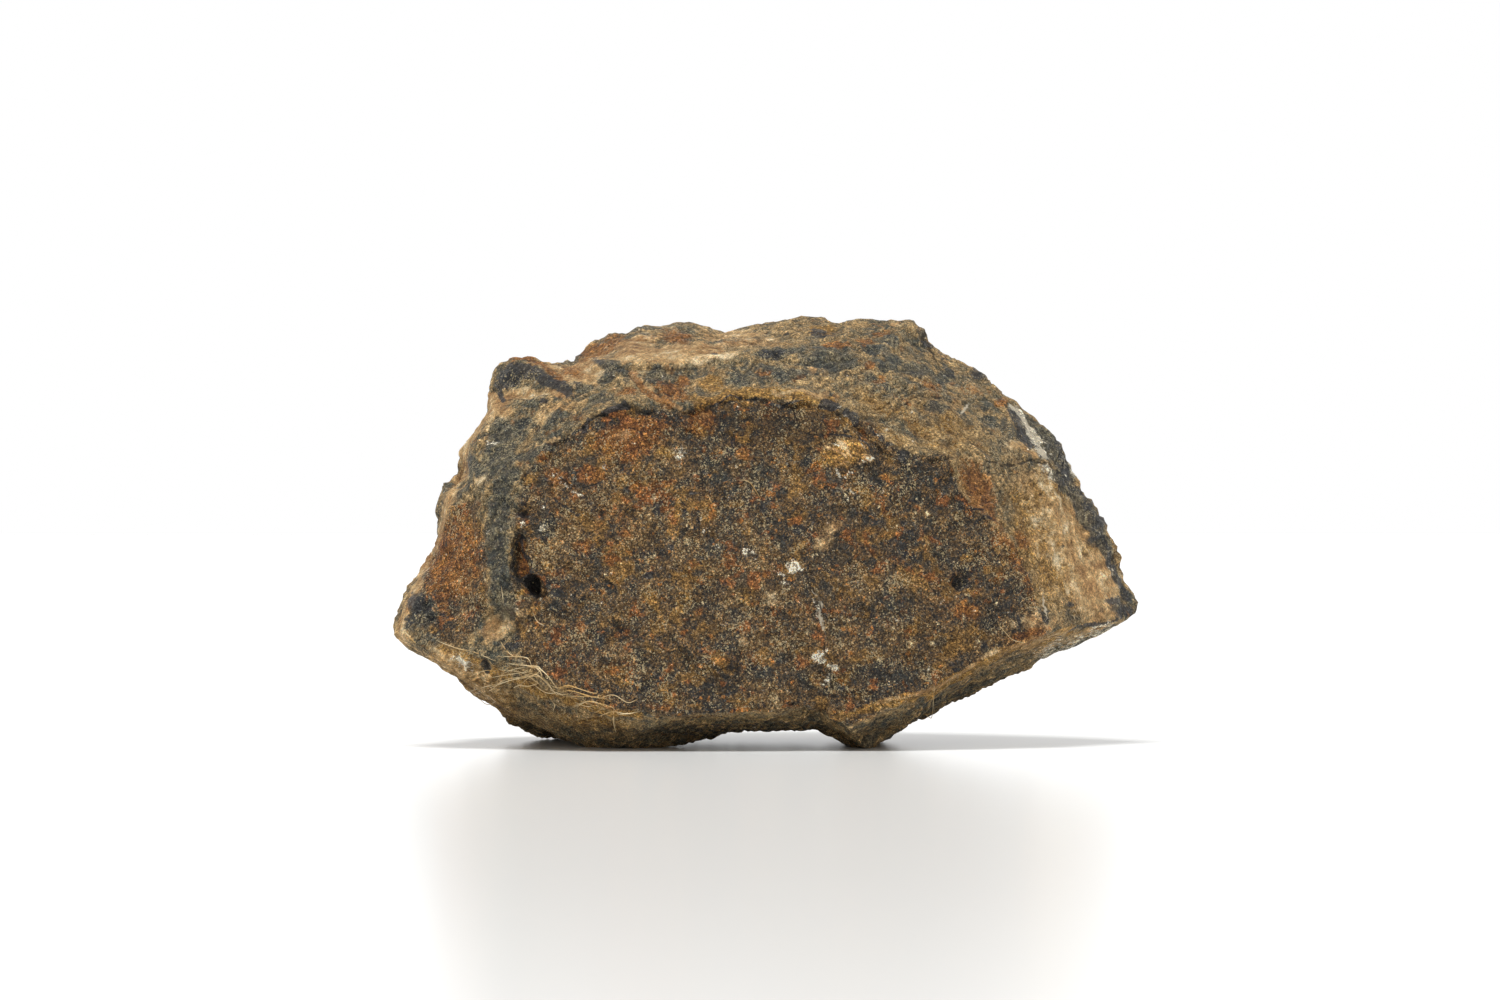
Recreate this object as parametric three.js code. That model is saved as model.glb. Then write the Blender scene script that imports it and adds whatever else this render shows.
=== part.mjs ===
// An iron meteorite, 66 mm wide: one angular, weathered stone of a single piece, as found.
// Millimetres, +Z up. -Y is the broad flat fracture face, +X its right-hand end.
// The origin is the middle of the bounding box on the surface that the stone rests on.
import * as THREE from "three";
import { mergeVertices } from "three/addons/utils/BufferGeometryUtils.js";

// Driving dimensions: the stone's overall size, which the corner points below are drawn to.
const WIDTH = 66.3;
const DEPTH = 37;
const HEIGHT = 38.8;

const MESH_STEP = 1.75; // length of a facet's side
const CORE = new THREE.Vector3(0, 0, 18); // a point well inside, from which every surface point is seen
const EDGE_ROUNDING = 0.018; // radians over which the broken edges are worn round
const RAYS_AROUND = 6; // rays over which the rounding averages, beside the middle one
const MIDDLE_WEIGHT = 2;
const LUMP_LENGTH = 9; // wavelength of the shallow lumps
const LUMP_HEIGHT = 0.35;
const REST_LEVEL = 0.4; // height in the corner points' frame at which the feet are worn flat

// Corner points of the broken surface, as x, y, z, grouped by the face that they bound.
const CORNERS = {
  front_rim: [
    [-19.6, -12.8, 26.7], [-17.4, -12.6, 28.4], [-14.8, -12.3, 30.1], [-11.3, -12.2, 31.1],
    [-6.0, -12.7, 30.6], [-1.2, -12.3, 31.5], [2.8, -12.0, 31.3], [7.2, -11.8, 29.9],
    [10.2, -11.9, 27.8], [16.0, -11.2, 25.8], [19.1, -10.8, 22.3], [21.3, -11.0, 17.9],
    [24.4, -11.2, 10.8], [16.7, -14.4, 7.1], [11.5, -15.9, 4.8], [7.1, -16.2, 2.7], [2.7, -16.6, 4.2],
    [-2.5, -17.0, 3.8], [-7.7, -17.3, 3.5], [-14.7, -17.1, 4.4], [-18.6, -16.4, 6.4],
    [-22.6, -14.9, 8.4], [-22.3, -14.4, 17.1], [-21.8, -13.7, 22.3],
  ],
  front_middle: [
    [-10.0, -16.0, 14.0], [1.0, -16.3, 14.5], [11.0, -15.0, 15.0], [-2.0, -14.3, 24.0],
    [-12.0, -14.3, 23.0], [-17.0, -15.6, 12.0], [6.0, -14.2, 22.5], [17.0, -13.4, 12.5],
  ],
  left_band: [[-25.3, -11.2, 24.4], [-25.3, -12.3, 17.5], [-25.2, -12.9, 11.8], [-27.4, -9.6, 17.0]],
  left_front: [
    [-25.9, -8.6, 26.2], [-28.2, -6.6, 22.4], [-29.6, -6.8, 16.9], [-31.9, -9.0, 12.8],
    [-32.3, -9.8, 10.1], [-28.9, -12.3, 8.4],
  ],
  left_end: [
    [-25.3, -1.0, 32.0], [-25.4, -1.5, 30.4], [-28.1, 1.0, 26.7], [-28.1, 1.0, 24.9],
    [-29.1, 1.0, 23.6], [-30.4, 0.0, 18.4], [-31.5, -2.5, 15.5], [-32.8, -5.5, 13.1],
    [-33.2, -7.2, 10.5], [-32.1, -5.0, 9.2],
  ],
  front_bevel: [
    [-24.1, -7.0, 30.0], [-22.3, -7.5, 31.1], [-18.7, -8.2, 32.2], [-15.1, -8.2, 33.6],
    [-12.4, -7.5, 34.8], [-9.3, -7.6, 34.6], [-5.2, -7.0, 35.3], [0.6, -6.2, 35.7], [5.6, -5.4, 35.6],
    [10.1, -5.0, 34.6], [15.0, -6.4, 30.7], [19.2, -8.4, 25.8],
  ],
  skyline: [
    [-24.0, 0.0, 33.7], [-22.4, 0.5, 34.6], [-20.5, 1.5, 34.5], [-18.6, 4.0, 34.1], [-16.9, 5.0, 35.6],
    [-15.1, 6.0, 36.9], [-11.5, 6.0, 38.2], [-7.9, 6.0, 38.5], [-4.3, 6.5, 37.6], [-0.7, 6.5, 38.3],
    [1.1, 5.5, 38.8], [2.9, 5.0, 39.1], [5.0, 5.0, 39.0], [6.5, 4.5, 38.5], [8.3, 4.0, 38.9],
    [10.1, 4.0, 38.8], [13.1, 4.0, 38.7], [15.6, 4.5, 36.2], [18.7, 4.0, 34.3], [21.6, 3.5, 32.0],
    [24.8, 3.0, 29.4], [26.6, 2.5, 27.2],
  ],
  right_end: [
    [24.5, -3.2, 26.4], [27.2, 2.0, 25.0], [28.2, 1.5, 22.8], [30.2, 1.5, 19.8], [31.9, 1.0, 15.6],
    [33.6, 0.5, 13.1], [33.7, 0.0, 12.2], [31.9, -2.0, 11.4], [28.5, -6.2, 11.1], [26.8, -6.6, 17.0],
  ],
  right_underside: [
    [30.0, 1.0, 10.3], [27.2, 2.0, 8.9], [24.4, 1.5, 7.5], [21.1, 0.5, 6.2], [18.5, -0.5, 4.9],
    [15.4, -2.0, 3.6], [13.0, -5.0, 2.6], [13.5, 4.0, 3.0],
  ],
  left_underside: [
    [-31.1, -3.0, 8.6], [-29.6, -1.0, 7.5], [-27.7, 0.0, 5.9], [-26.5, 1.0, 4.7], [-24.4, 3.0, 3.2],
    [-18.0, -11.0, 2.4], [-22.0, -8.0, 3.4],
  ],
  front_foot: [
    [-9.6, -8.0, 0.0], [-12.0, -9.2, -0.3], [-15.5, -7.8, 0.0], [-12.0, -5.6, -0.1],
    [-12.0, -13.0, 1.7], [-6.5, -12.5, 2.6], [-6.4, -8.0, 1.5],
  ],
  right_foot: [
    [8.9, -10.4, -0.2], [8.9, -8.4, -0.2], [8.9, -2.0, 1.0], [8.9, 5.4, -0.2], [8.9, 7.0, -0.2],
    [7.3, -12.6, 1.6], [6.2, -9.5, 1.7], [4.6, -12.6, 2.6], [6.0, -2.0, 1.9], [6.2, 6.0, 1.6],
    [11.4, -9.5, 1.8], [11.4, -2.0, 2.1], [11.4, 6.0, 1.6],
  ],
  back_left_foot: [[-19.6, 9.0, -0.2], [-16.0, 8.5, -0.2], [-17.8, 11.5, -0.1]],
  belly: [
    [0.0, -9.0, 1.9], [-1.0, 0.0, 2.0], [-9.0, 2.0, 1.4], [-8.0, 10.0, 1.4], [4.0, -8.0, 2.2],
    [-22.5, 7.0, 1.4], [2.0, 9.0, 1.7],
  ],
  back_face: [
    [-15.5, 17.6, 9.5], [-16.8, 16.6, 22.5], [-12.0, 18.9, 15.0], [-3.0, 19.3, 25.5], [9.5, 18.2, 24.2],
    [13.4, 17.2, 11.0], [-1.0, 19.1, 8.0], [4.0, 19.3, 16.0],
  ],
  back_left: [[-29.0, 6.5, 12.0], [-28.4, 6.0, 19.5], [-22.4, 12.6, 15.8], [-24.5, 11.0, 6.0]],
  back_right: [[27.0, 7.2, 20.5], [30.6, 4.4, 13.0], [20.6, 12.4, 17.2], [23.0, 9.6, 8.6]],
  back_slopes: [
    [-8.0, 12.9, 31.8], [3.2, 12.0, 32.6], [-24.0, 4.4, 31.2], [-17.4, 8.6, 33.6], [-22.0, 11.0, 25.2],
    [15.4, 7.6, 34.6], [18.6, 11.6, 26.6], [24.0, 6.0, 26.4],
  ],
  back_underside: [[-17.0, 14.2, 3.4], [-8.0, 15.2, 3.0], [4.0, 14.2, 3.2], [14.0, 11.6, 4.8]],
};

// Local shapes of the surface: centre, radii along x, y and z, and height, which is negative for a pit.
const FEATURES = {
  knob: { at: [-22.4, -2.2, 33.0], radii: [3.0, 2.6, 1.5], height: 0.6 },
  saddle: { at: [-18.6, 3.0, 34.4], radii: [1.6, 4.0, 2.0], height: -0.5 },
  slit: { at: [-22.1, -14.0, 16.4], radii: [0.8, 3.0, 2.8], height: -1.2 },
  slit_hole: { at: [-20.9, -14.3, 14.2], radii: [1.3, 3.0, 1.3], height: -1.4 },
  scoop: { at: [-23.9, -13.8, 11.0], radii: [2.0, 4.0, 2.2], height: -0.6 },
  rust_hollow: { at: [18.0, -11.2, 24.2], radii: [1.8, 4.0, 2.2], height: -0.4 },
  base_notch: { at: [4.6, -15.5, 3.0], radii: [1.8, 4.0, 1.3], height: -0.8 },
};

function directionFromCore(corner) {
  return new THREE.Vector3(...corner).sub(CORE).normalize();
}

// The flat faces between corner points: each is a triangle of corners with no other corner outside it,
// judged on directions from the core. A face holds its plane and the inverse that tells which rays hit it.
function brokenFaces(corners) {
  const directions = corners.map(directionFromCore);
  const faces = [];
  const side = new THREE.Plane();
  const isOuter = (a, b, c) => {
    side.setFromCoplanarPoints(directions[a], directions[b], directions[c]);
    const others = directions.filter((_, i) => i !== a && i !== b && i !== c);
    const distances = others.map((d) => side.distanceToPoint(d));
    return distances.every((d) => d < 0) || distances.every((d) => d > 0);
  };
  for (let a = 0; a < corners.length; a += 1) {
    for (let b = a + 1; b < corners.length; b += 1) {
      for (let c = b + 1; c < corners.length; c += 1) {
        if (!isOuter(a, b, c)) continue;
        const [p, q, r] = [a, b, c].map((i) => new THREE.Vector3(...corners[i]).sub(CORE));
        const plane = new THREE.Plane().setFromCoplanarPoints(p, q, r);
        const inverse = new THREE.Matrix3().set(p.x, q.x, r.x, p.y, q.y, r.y, p.z, q.z, r.z).invert();
        faces.push({ plane, inverse });
      }
    }
  }
  return faces;
}

const FACES = brokenFaces(Object.values(CORNERS).flat());

// Distance from the core to the broken surface along a ray: the ray's distance to the plane of the face
// whose three corners enclose it.
function faceDistance(ray) {
  let best = FACES[0];
  let bestInside = -Infinity;
  for (const face of FACES) {
    const shares = ray.clone().applyMatrix3(face.inverse);
    const inside = Math.min(shares.x, shares.y, shares.z);
    if (inside > bestInside) {
      bestInside = inside;
      best = face;
    }
  }
  return -best.plane.constant / best.plane.normal.dot(ray);
}

// The same distance, averaged over a small cone of rays, which wears the edges and corners round.
function wornDistance(ray) {
  const across = new THREE.Vector3(-ray.y, ray.x, 0.3).cross(ray).normalize();
  const along = ray.clone().cross(across);
  let sum = MIDDLE_WEIGHT * faceDistance(ray);
  for (let i = 0; i < RAYS_AROUND; i += 1) {
    const turn = (2 * Math.PI * i) / RAYS_AROUND;
    const tilted = ray
      .clone()
      .addScaledVector(across, EDGE_ROUNDING * Math.cos(turn))
      .addScaledVector(along, EDGE_ROUNDING * Math.sin(turn));
    sum += faceDistance(tilted.normalize());
  }
  return sum / (MIDDLE_WEIGHT + RAYS_AROUND);
}

// Shallow lumps, from -1 to 1: three crossing sine waves, each bent by a slower one.
function lumps(p) {
  const { x, y, z } = p.clone().multiplyScalar((2 * Math.PI) / LUMP_LENGTH);
  const a = Math.sin(0.83 * x + 0.41 * y + 0.37 * z + 1.3 * Math.sin(0.52 * y - 0.61 * z));
  const b = Math.sin(-0.35 * x + 0.88 * y + 0.31 * z + 1.3 * Math.sin(0.57 * x + 0.44 * z));
  const c = Math.sin(0.29 * x - 0.46 * y + 0.84 * z + 1.3 * Math.sin(0.49 * x - 0.55 * y));
  return (a + b + c) / 3;
}

// How far the pits and knobs lift the surface at a point: a soft bell over each one's radii.
function featureLift(p) {
  return Object.values(FEATURES).reduce((sum, { at, radii, height }) => {
    const [dx, dy, dz] = [p.x - at[0], p.y - at[1], p.z - at[2]];
    const reach = (dx / radii[0]) ** 2 + (dy / radii[1]) ** 2 + (dz / radii[2]) ** 2;
    return sum + height * Math.exp(-reach * reach);
  }, 0);
}

// The stone's surface along a ray from the core, kept at or above the level that it rests on.
function surfacePoint(ray) {
  const point = CORE.clone().addScaledVector(ray, wornDistance(ray));
  const lift = LUMP_HEIGHT * lumps(point) + featureLift(point);
  point.addScaledVector(ray, lift);
  point.z = Math.max(point.z, REST_LEVEL);
  return point;
}

function middleOf(points) {
  const sum = points.reduce((total, point) => total.add(point), new THREE.Vector3());
  return sum.divideScalar(points.length);
}

// Each square of the lattice is two triangles, listed as corners a, b, d and b, c, d. Where the other
// diagonal lies closer to the surface at the square's middle, the square is split along that one
// instead, so that the broken edges run straight.
function turnDiagonals(index, points, rays) {
  for (let k = 0; k < index.count; k += 6) {
    const [a, b, d, , c] = [0, 1, 2, 3, 4].map((offset) => index.getX(k + offset));
    const target = surfacePoint(middleOf([a, b, c, d].map((i) => rays[i])).normalize());
    const [first, second] = [
      [a, c],
      [b, d],
    ].map(([i, j]) => middleOf([points[i], points[j]]).distanceTo(target));
    if (first < second) {
      [a, b, c, a, c, d].forEach((corner, offset) => index.setX(k + offset, corner));
    }
  }
}

function meteoriteGeometry() {
  const box = new THREE.BoxGeometry(
    WIDTH,
    DEPTH,
    HEIGHT,
    Math.round(WIDTH / MESH_STEP),
    Math.round(DEPTH / MESH_STEP),
    Math.round(HEIGHT / MESH_STEP),
  );
  box.deleteAttribute("normal");
  box.deleteAttribute("uv");
  const geometry = mergeVertices(box, 1e-3);
  const position = geometry.attributes.position;
  const rays = Array.from({ length: position.count }, (_, i) => {
    return new THREE.Vector3().fromBufferAttribute(position, i).normalize();
  });
  const points = rays.map(surfacePoint);
  points.forEach((point, i) => position.setXYZ(i, ...point));
  turnDiagonals(geometry.index, points, rays);
  geometry.computeBoundingBox();
  const middle = geometry.boundingBox.getCenter(new THREE.Vector3());
  geometry.translate(-middle.x, -middle.y, -geometry.boundingBox.min.z);
  geometry.computeVertexNormals();
  return geometry;
}

const weatheredIron = new THREE.MeshStandardMaterial({
  color: "#6a5841",
  roughness: 0.85,
  metalness: 0.1,
});

const meteorite = new THREE.Mesh(meteoriteGeometry(), weatheredIron);
meteorite.name = "meteorite";

const stone = new THREE.Group();
stone.add(meteorite);

export default stone;
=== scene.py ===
"""An iron meteorite, 66 mm wide: the weathered surface, stains and stray fibres of one angular stone."""
import itertools
import math
from types import SimpleNamespace

import bpy
import numpy as np
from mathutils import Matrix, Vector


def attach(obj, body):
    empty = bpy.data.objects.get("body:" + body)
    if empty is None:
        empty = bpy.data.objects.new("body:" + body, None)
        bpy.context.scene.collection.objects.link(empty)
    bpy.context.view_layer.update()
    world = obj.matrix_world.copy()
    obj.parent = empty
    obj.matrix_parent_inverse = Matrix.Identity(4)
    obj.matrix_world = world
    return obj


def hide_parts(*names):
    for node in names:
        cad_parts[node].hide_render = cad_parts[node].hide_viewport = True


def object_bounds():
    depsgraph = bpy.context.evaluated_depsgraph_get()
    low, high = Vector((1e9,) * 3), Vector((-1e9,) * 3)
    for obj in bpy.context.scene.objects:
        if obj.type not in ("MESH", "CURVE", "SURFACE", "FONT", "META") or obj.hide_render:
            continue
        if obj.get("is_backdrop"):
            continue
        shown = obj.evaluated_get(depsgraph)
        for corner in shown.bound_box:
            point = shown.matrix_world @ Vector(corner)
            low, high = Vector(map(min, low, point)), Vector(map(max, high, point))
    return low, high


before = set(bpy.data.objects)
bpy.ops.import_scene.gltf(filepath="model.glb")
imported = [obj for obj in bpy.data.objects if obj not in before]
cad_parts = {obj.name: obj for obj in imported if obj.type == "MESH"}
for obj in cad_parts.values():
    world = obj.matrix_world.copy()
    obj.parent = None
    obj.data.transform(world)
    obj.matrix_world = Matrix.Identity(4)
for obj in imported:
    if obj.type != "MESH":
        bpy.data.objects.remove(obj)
cad_low, cad_high = (np.array(corner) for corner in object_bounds())

# The stone is drawn in millimetres about this core, from which every point of its surface is seen.
STONE_WIDTH, STONE_DEPTH, STONE_HEIGHT = 66.3, 37.0, 38.8
CORE = np.array([0.0, 0.0, 18.0])
EDGE_ROUNDING = 0.018  # radians over which the broken edges are worn round
FINE_ROUNDING = 0.008  # the same on the detailed surface, whose edges are crisper
LUMP_LENGTH, LUMP_HEIGHT = 9.0, 0.35
REST_LEVEL = 0.4  # height at which the feet are worn flat
SOLID_STEP = 1.75  # lattice of the plain solid
FINE_STEPS = (199, 85, 115)  # lattice of the detailed surface, odd so that no ray is upright

# Where the stone is looked at from: level, half a metre in front of the broad face.
EYE = np.array([-1.6, -500.0, 22.3])
LENS = 133.3  # shows 135 mm of the upright plane through the core

# A pixel of the photo in millimetres at the stone, the column of x = 0, and the table's row.
PIXEL, MIDDLE_COLUMN, TABLE_ROW = 0.09, 768, 748

# Corner points of the broken surface, as x, y, z, grouped by the face that they bound.
CORNERS = {
    "front_rim": [
        (-19.6, -12.8, 26.7), (-17.4, -12.6, 28.4), (-14.8, -12.3, 30.1), (-11.3, -12.2, 31.1),
        (-6.0, -12.7, 30.6), (-1.2, -12.3, 31.5), (2.8, -12.0, 31.3), (7.2, -11.8, 29.9),
        (10.2, -11.9, 27.8), (16.0, -11.2, 25.8), (19.1, -10.8, 22.3), (21.3, -11.0, 17.9),
        (24.4, -11.2, 10.8), (16.7, -14.4, 7.1), (11.5, -15.9, 4.8), (7.1, -16.2, 2.7),
        (2.7, -16.6, 4.2), (-2.5, -17.0, 3.8), (-7.7, -17.3, 3.5), (-14.7, -17.1, 4.4),
        (-18.6, -16.4, 6.4), (-22.6, -14.9, 8.4), (-22.3, -14.4, 17.1), (-21.8, -13.7, 22.3),
    ],
    "front_middle": [
        (-10.0, -16.0, 14.0), (1.0, -16.3, 14.5), (11.0, -15.0, 15.0), (-2.0, -14.3, 24.0),
        (-12.0, -14.3, 23.0), (-17.0, -15.6, 12.0), (6.0, -14.2, 22.5), (17.0, -13.4, 12.5),
    ],
    "left_band": [
        (-25.3, -11.2, 24.4), (-25.3, -12.3, 17.5), (-25.2, -12.9, 11.8), (-27.4, -9.6, 17.0),
    ],
    "left_front": [
        (-25.9, -8.6, 26.2), (-28.2, -6.6, 22.4), (-29.6, -6.8, 16.9), (-31.9, -9.0, 12.8),
        (-32.3, -9.8, 10.1), (-28.9, -12.3, 8.4),
    ],
    "left_end": [
        (-25.3, -1.0, 32.0), (-25.4, -1.5, 30.4), (-28.1, 1.0, 26.7), (-28.1, 1.0, 24.9),
        (-29.1, 1.0, 23.6), (-30.4, 0.0, 18.4), (-31.5, -2.5, 15.5), (-32.8, -5.5, 13.1),
        (-33.2, -7.2, 10.5), (-32.1, -5.0, 9.2),
    ],
    "front_bevel": [
        (-24.1, -7.0, 30.0), (-22.3, -7.5, 31.1), (-18.7, -8.2, 32.2), (-15.1, -8.2, 33.6),
        (-12.4, -7.5, 34.8), (-9.3, -7.6, 34.6), (-5.2, -7.0, 35.3), (0.6, -6.2, 35.7),
        (5.6, -5.4, 35.6), (10.1, -5.0, 34.6), (15.0, -6.4, 30.7), (19.2, -8.4, 25.8),
    ],
    "skyline": [
        (-24.0, 0.0, 33.7), (-22.4, 0.5, 34.6), (-20.5, 1.5, 34.5), (-18.6, 4.0, 34.1),
        (-16.9, 5.0, 35.6), (-15.1, 6.0, 36.9), (-11.5, 6.0, 38.2), (-7.9, 6.0, 38.5),
        (-4.3, 6.5, 37.6), (-0.7, 6.5, 38.3), (1.1, 5.5, 38.8), (2.9, 5.0, 39.1), (5.0, 5.0, 39.0),
        (6.5, 4.5, 38.5), (8.3, 4.0, 38.9), (10.1, 4.0, 38.8), (13.1, 4.0, 38.7), (15.6, 4.5, 36.2),
        (18.7, 4.0, 34.3), (21.6, 3.5, 32.0), (24.8, 3.0, 29.4), (26.6, 2.5, 27.2),
    ],
    "right_end": [
        (24.5, -3.2, 26.4), (27.2, 2.0, 25.0), (28.2, 1.5, 22.8), (30.2, 1.5, 19.8), (31.9, 1.0, 15.6),
        (33.6, 0.5, 13.1), (33.7, 0.0, 12.2), (31.9, -2.0, 11.4), (28.5, -6.2, 11.1),
        (26.8, -6.6, 17.0),
    ],
    "right_underside": [
        (30.0, 1.0, 10.3), (27.2, 2.0, 8.9), (24.4, 1.5, 7.5), (21.1, 0.5, 6.2), (18.5, -0.5, 4.9),
        (15.4, -2.0, 3.6), (13.0, -5.0, 2.6), (13.5, 4.0, 3.0),
    ],
    "left_underside": [
        (-31.1, -3.0, 8.6), (-29.6, -1.0, 7.5), (-27.7, 0.0, 5.9), (-26.5, 1.0, 4.7), (-24.4, 3.0, 3.2),
        (-18.0, -11.0, 2.4), (-22.0, -8.0, 3.4),
    ],
    "front_foot": [
        (-9.6, -8.0, 0.0), (-12.0, -9.2, -0.3), (-15.5, -7.8, 0.0), (-12.0, -5.6, -0.1),
        (-12.0, -13.0, 1.7), (-6.5, -12.5, 2.6), (-6.4, -8.0, 1.5),
    ],
    "right_foot": [
        (8.9, -10.4, -0.2), (8.9, -8.4, -0.2), (8.9, -2.0, 1.0), (8.9, 5.4, -0.2), (8.9, 7.0, -0.2),
        (7.3, -12.6, 1.6), (6.2, -9.5, 1.7), (4.6, -12.6, 2.6), (6.0, -2.0, 1.9), (6.2, 6.0, 1.6),
        (11.4, -9.5, 1.8), (11.4, -2.0, 2.1), (11.4, 6.0, 1.6),
    ],
    "back_left_foot": [(-19.6, 9.0, -0.2), (-16.0, 8.5, -0.2), (-17.8, 11.5, -0.1)],
    "belly": [
        (0.0, -9.0, 1.9), (-1.0, 0.0, 2.0), (-9.0, 2.0, 1.4), (-8.0, 10.0, 1.4), (4.0, -8.0, 2.2),
        (-22.5, 7.0, 1.4), (2.0, 9.0, 1.7),
    ],
    "back_face": [
        (-15.5, 17.6, 9.5), (-16.8, 16.6, 22.5), (-12.0, 18.9, 15.0), (-3.0, 19.3, 25.5),
        (9.5, 18.2, 24.2), (13.4, 17.2, 11.0), (-1.0, 19.1, 8.0), (4.0, 19.3, 16.0),
    ],
    "back_left": [(-29.0, 6.5, 12.0), (-28.4, 6.0, 19.5), (-22.4, 12.6, 15.8), (-24.5, 11.0, 6.0)],
    "back_right": [(27.0, 7.2, 20.5), (30.6, 4.4, 13.0), (20.6, 12.4, 17.2), (23.0, 9.6, 8.6)],
    "back_slopes": [
        (-8.0, 12.9, 31.8), (3.2, 12.0, 32.6), (-24.0, 4.4, 31.2), (-17.4, 8.6, 33.6),
        (-22.0, 11.0, 25.2), (15.4, 7.6, 34.6), (18.6, 11.6, 26.6), (24.0, 6.0, 26.4),
    ],
    "back_underside": [(-17.0, 14.2, 3.4), (-8.0, 15.2, 3.0), (4.0, 14.2, 3.2), (14.0, 11.6, 4.8)],
}

# Local shapes of the plain surface: centre, radii along x, y and z, and height, negative for a pit.
FEATURES = [
    ((-22.4, -2.2, 33.0), (3.0, 2.6, 1.5), 0.6),
    ((-18.6, 3.0, 34.4), (1.6, 4.0, 2.0), -0.5),
    ((-22.1, -14.0, 16.4), (0.8, 3.0, 2.8), -1.2),
    ((-20.9, -14.3, 14.2), (1.3, 3.0, 1.3), -1.4),
    ((-23.9, -13.8, 11.0), (2.0, 4.0, 2.2), -0.6),
    ((18.0, -11.2, 24.2), (1.8, 4.0, 2.2), -0.4),
    ((4.6, -15.5, 3.0), (1.8, 4.0, 1.3), -0.8),
]

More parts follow.
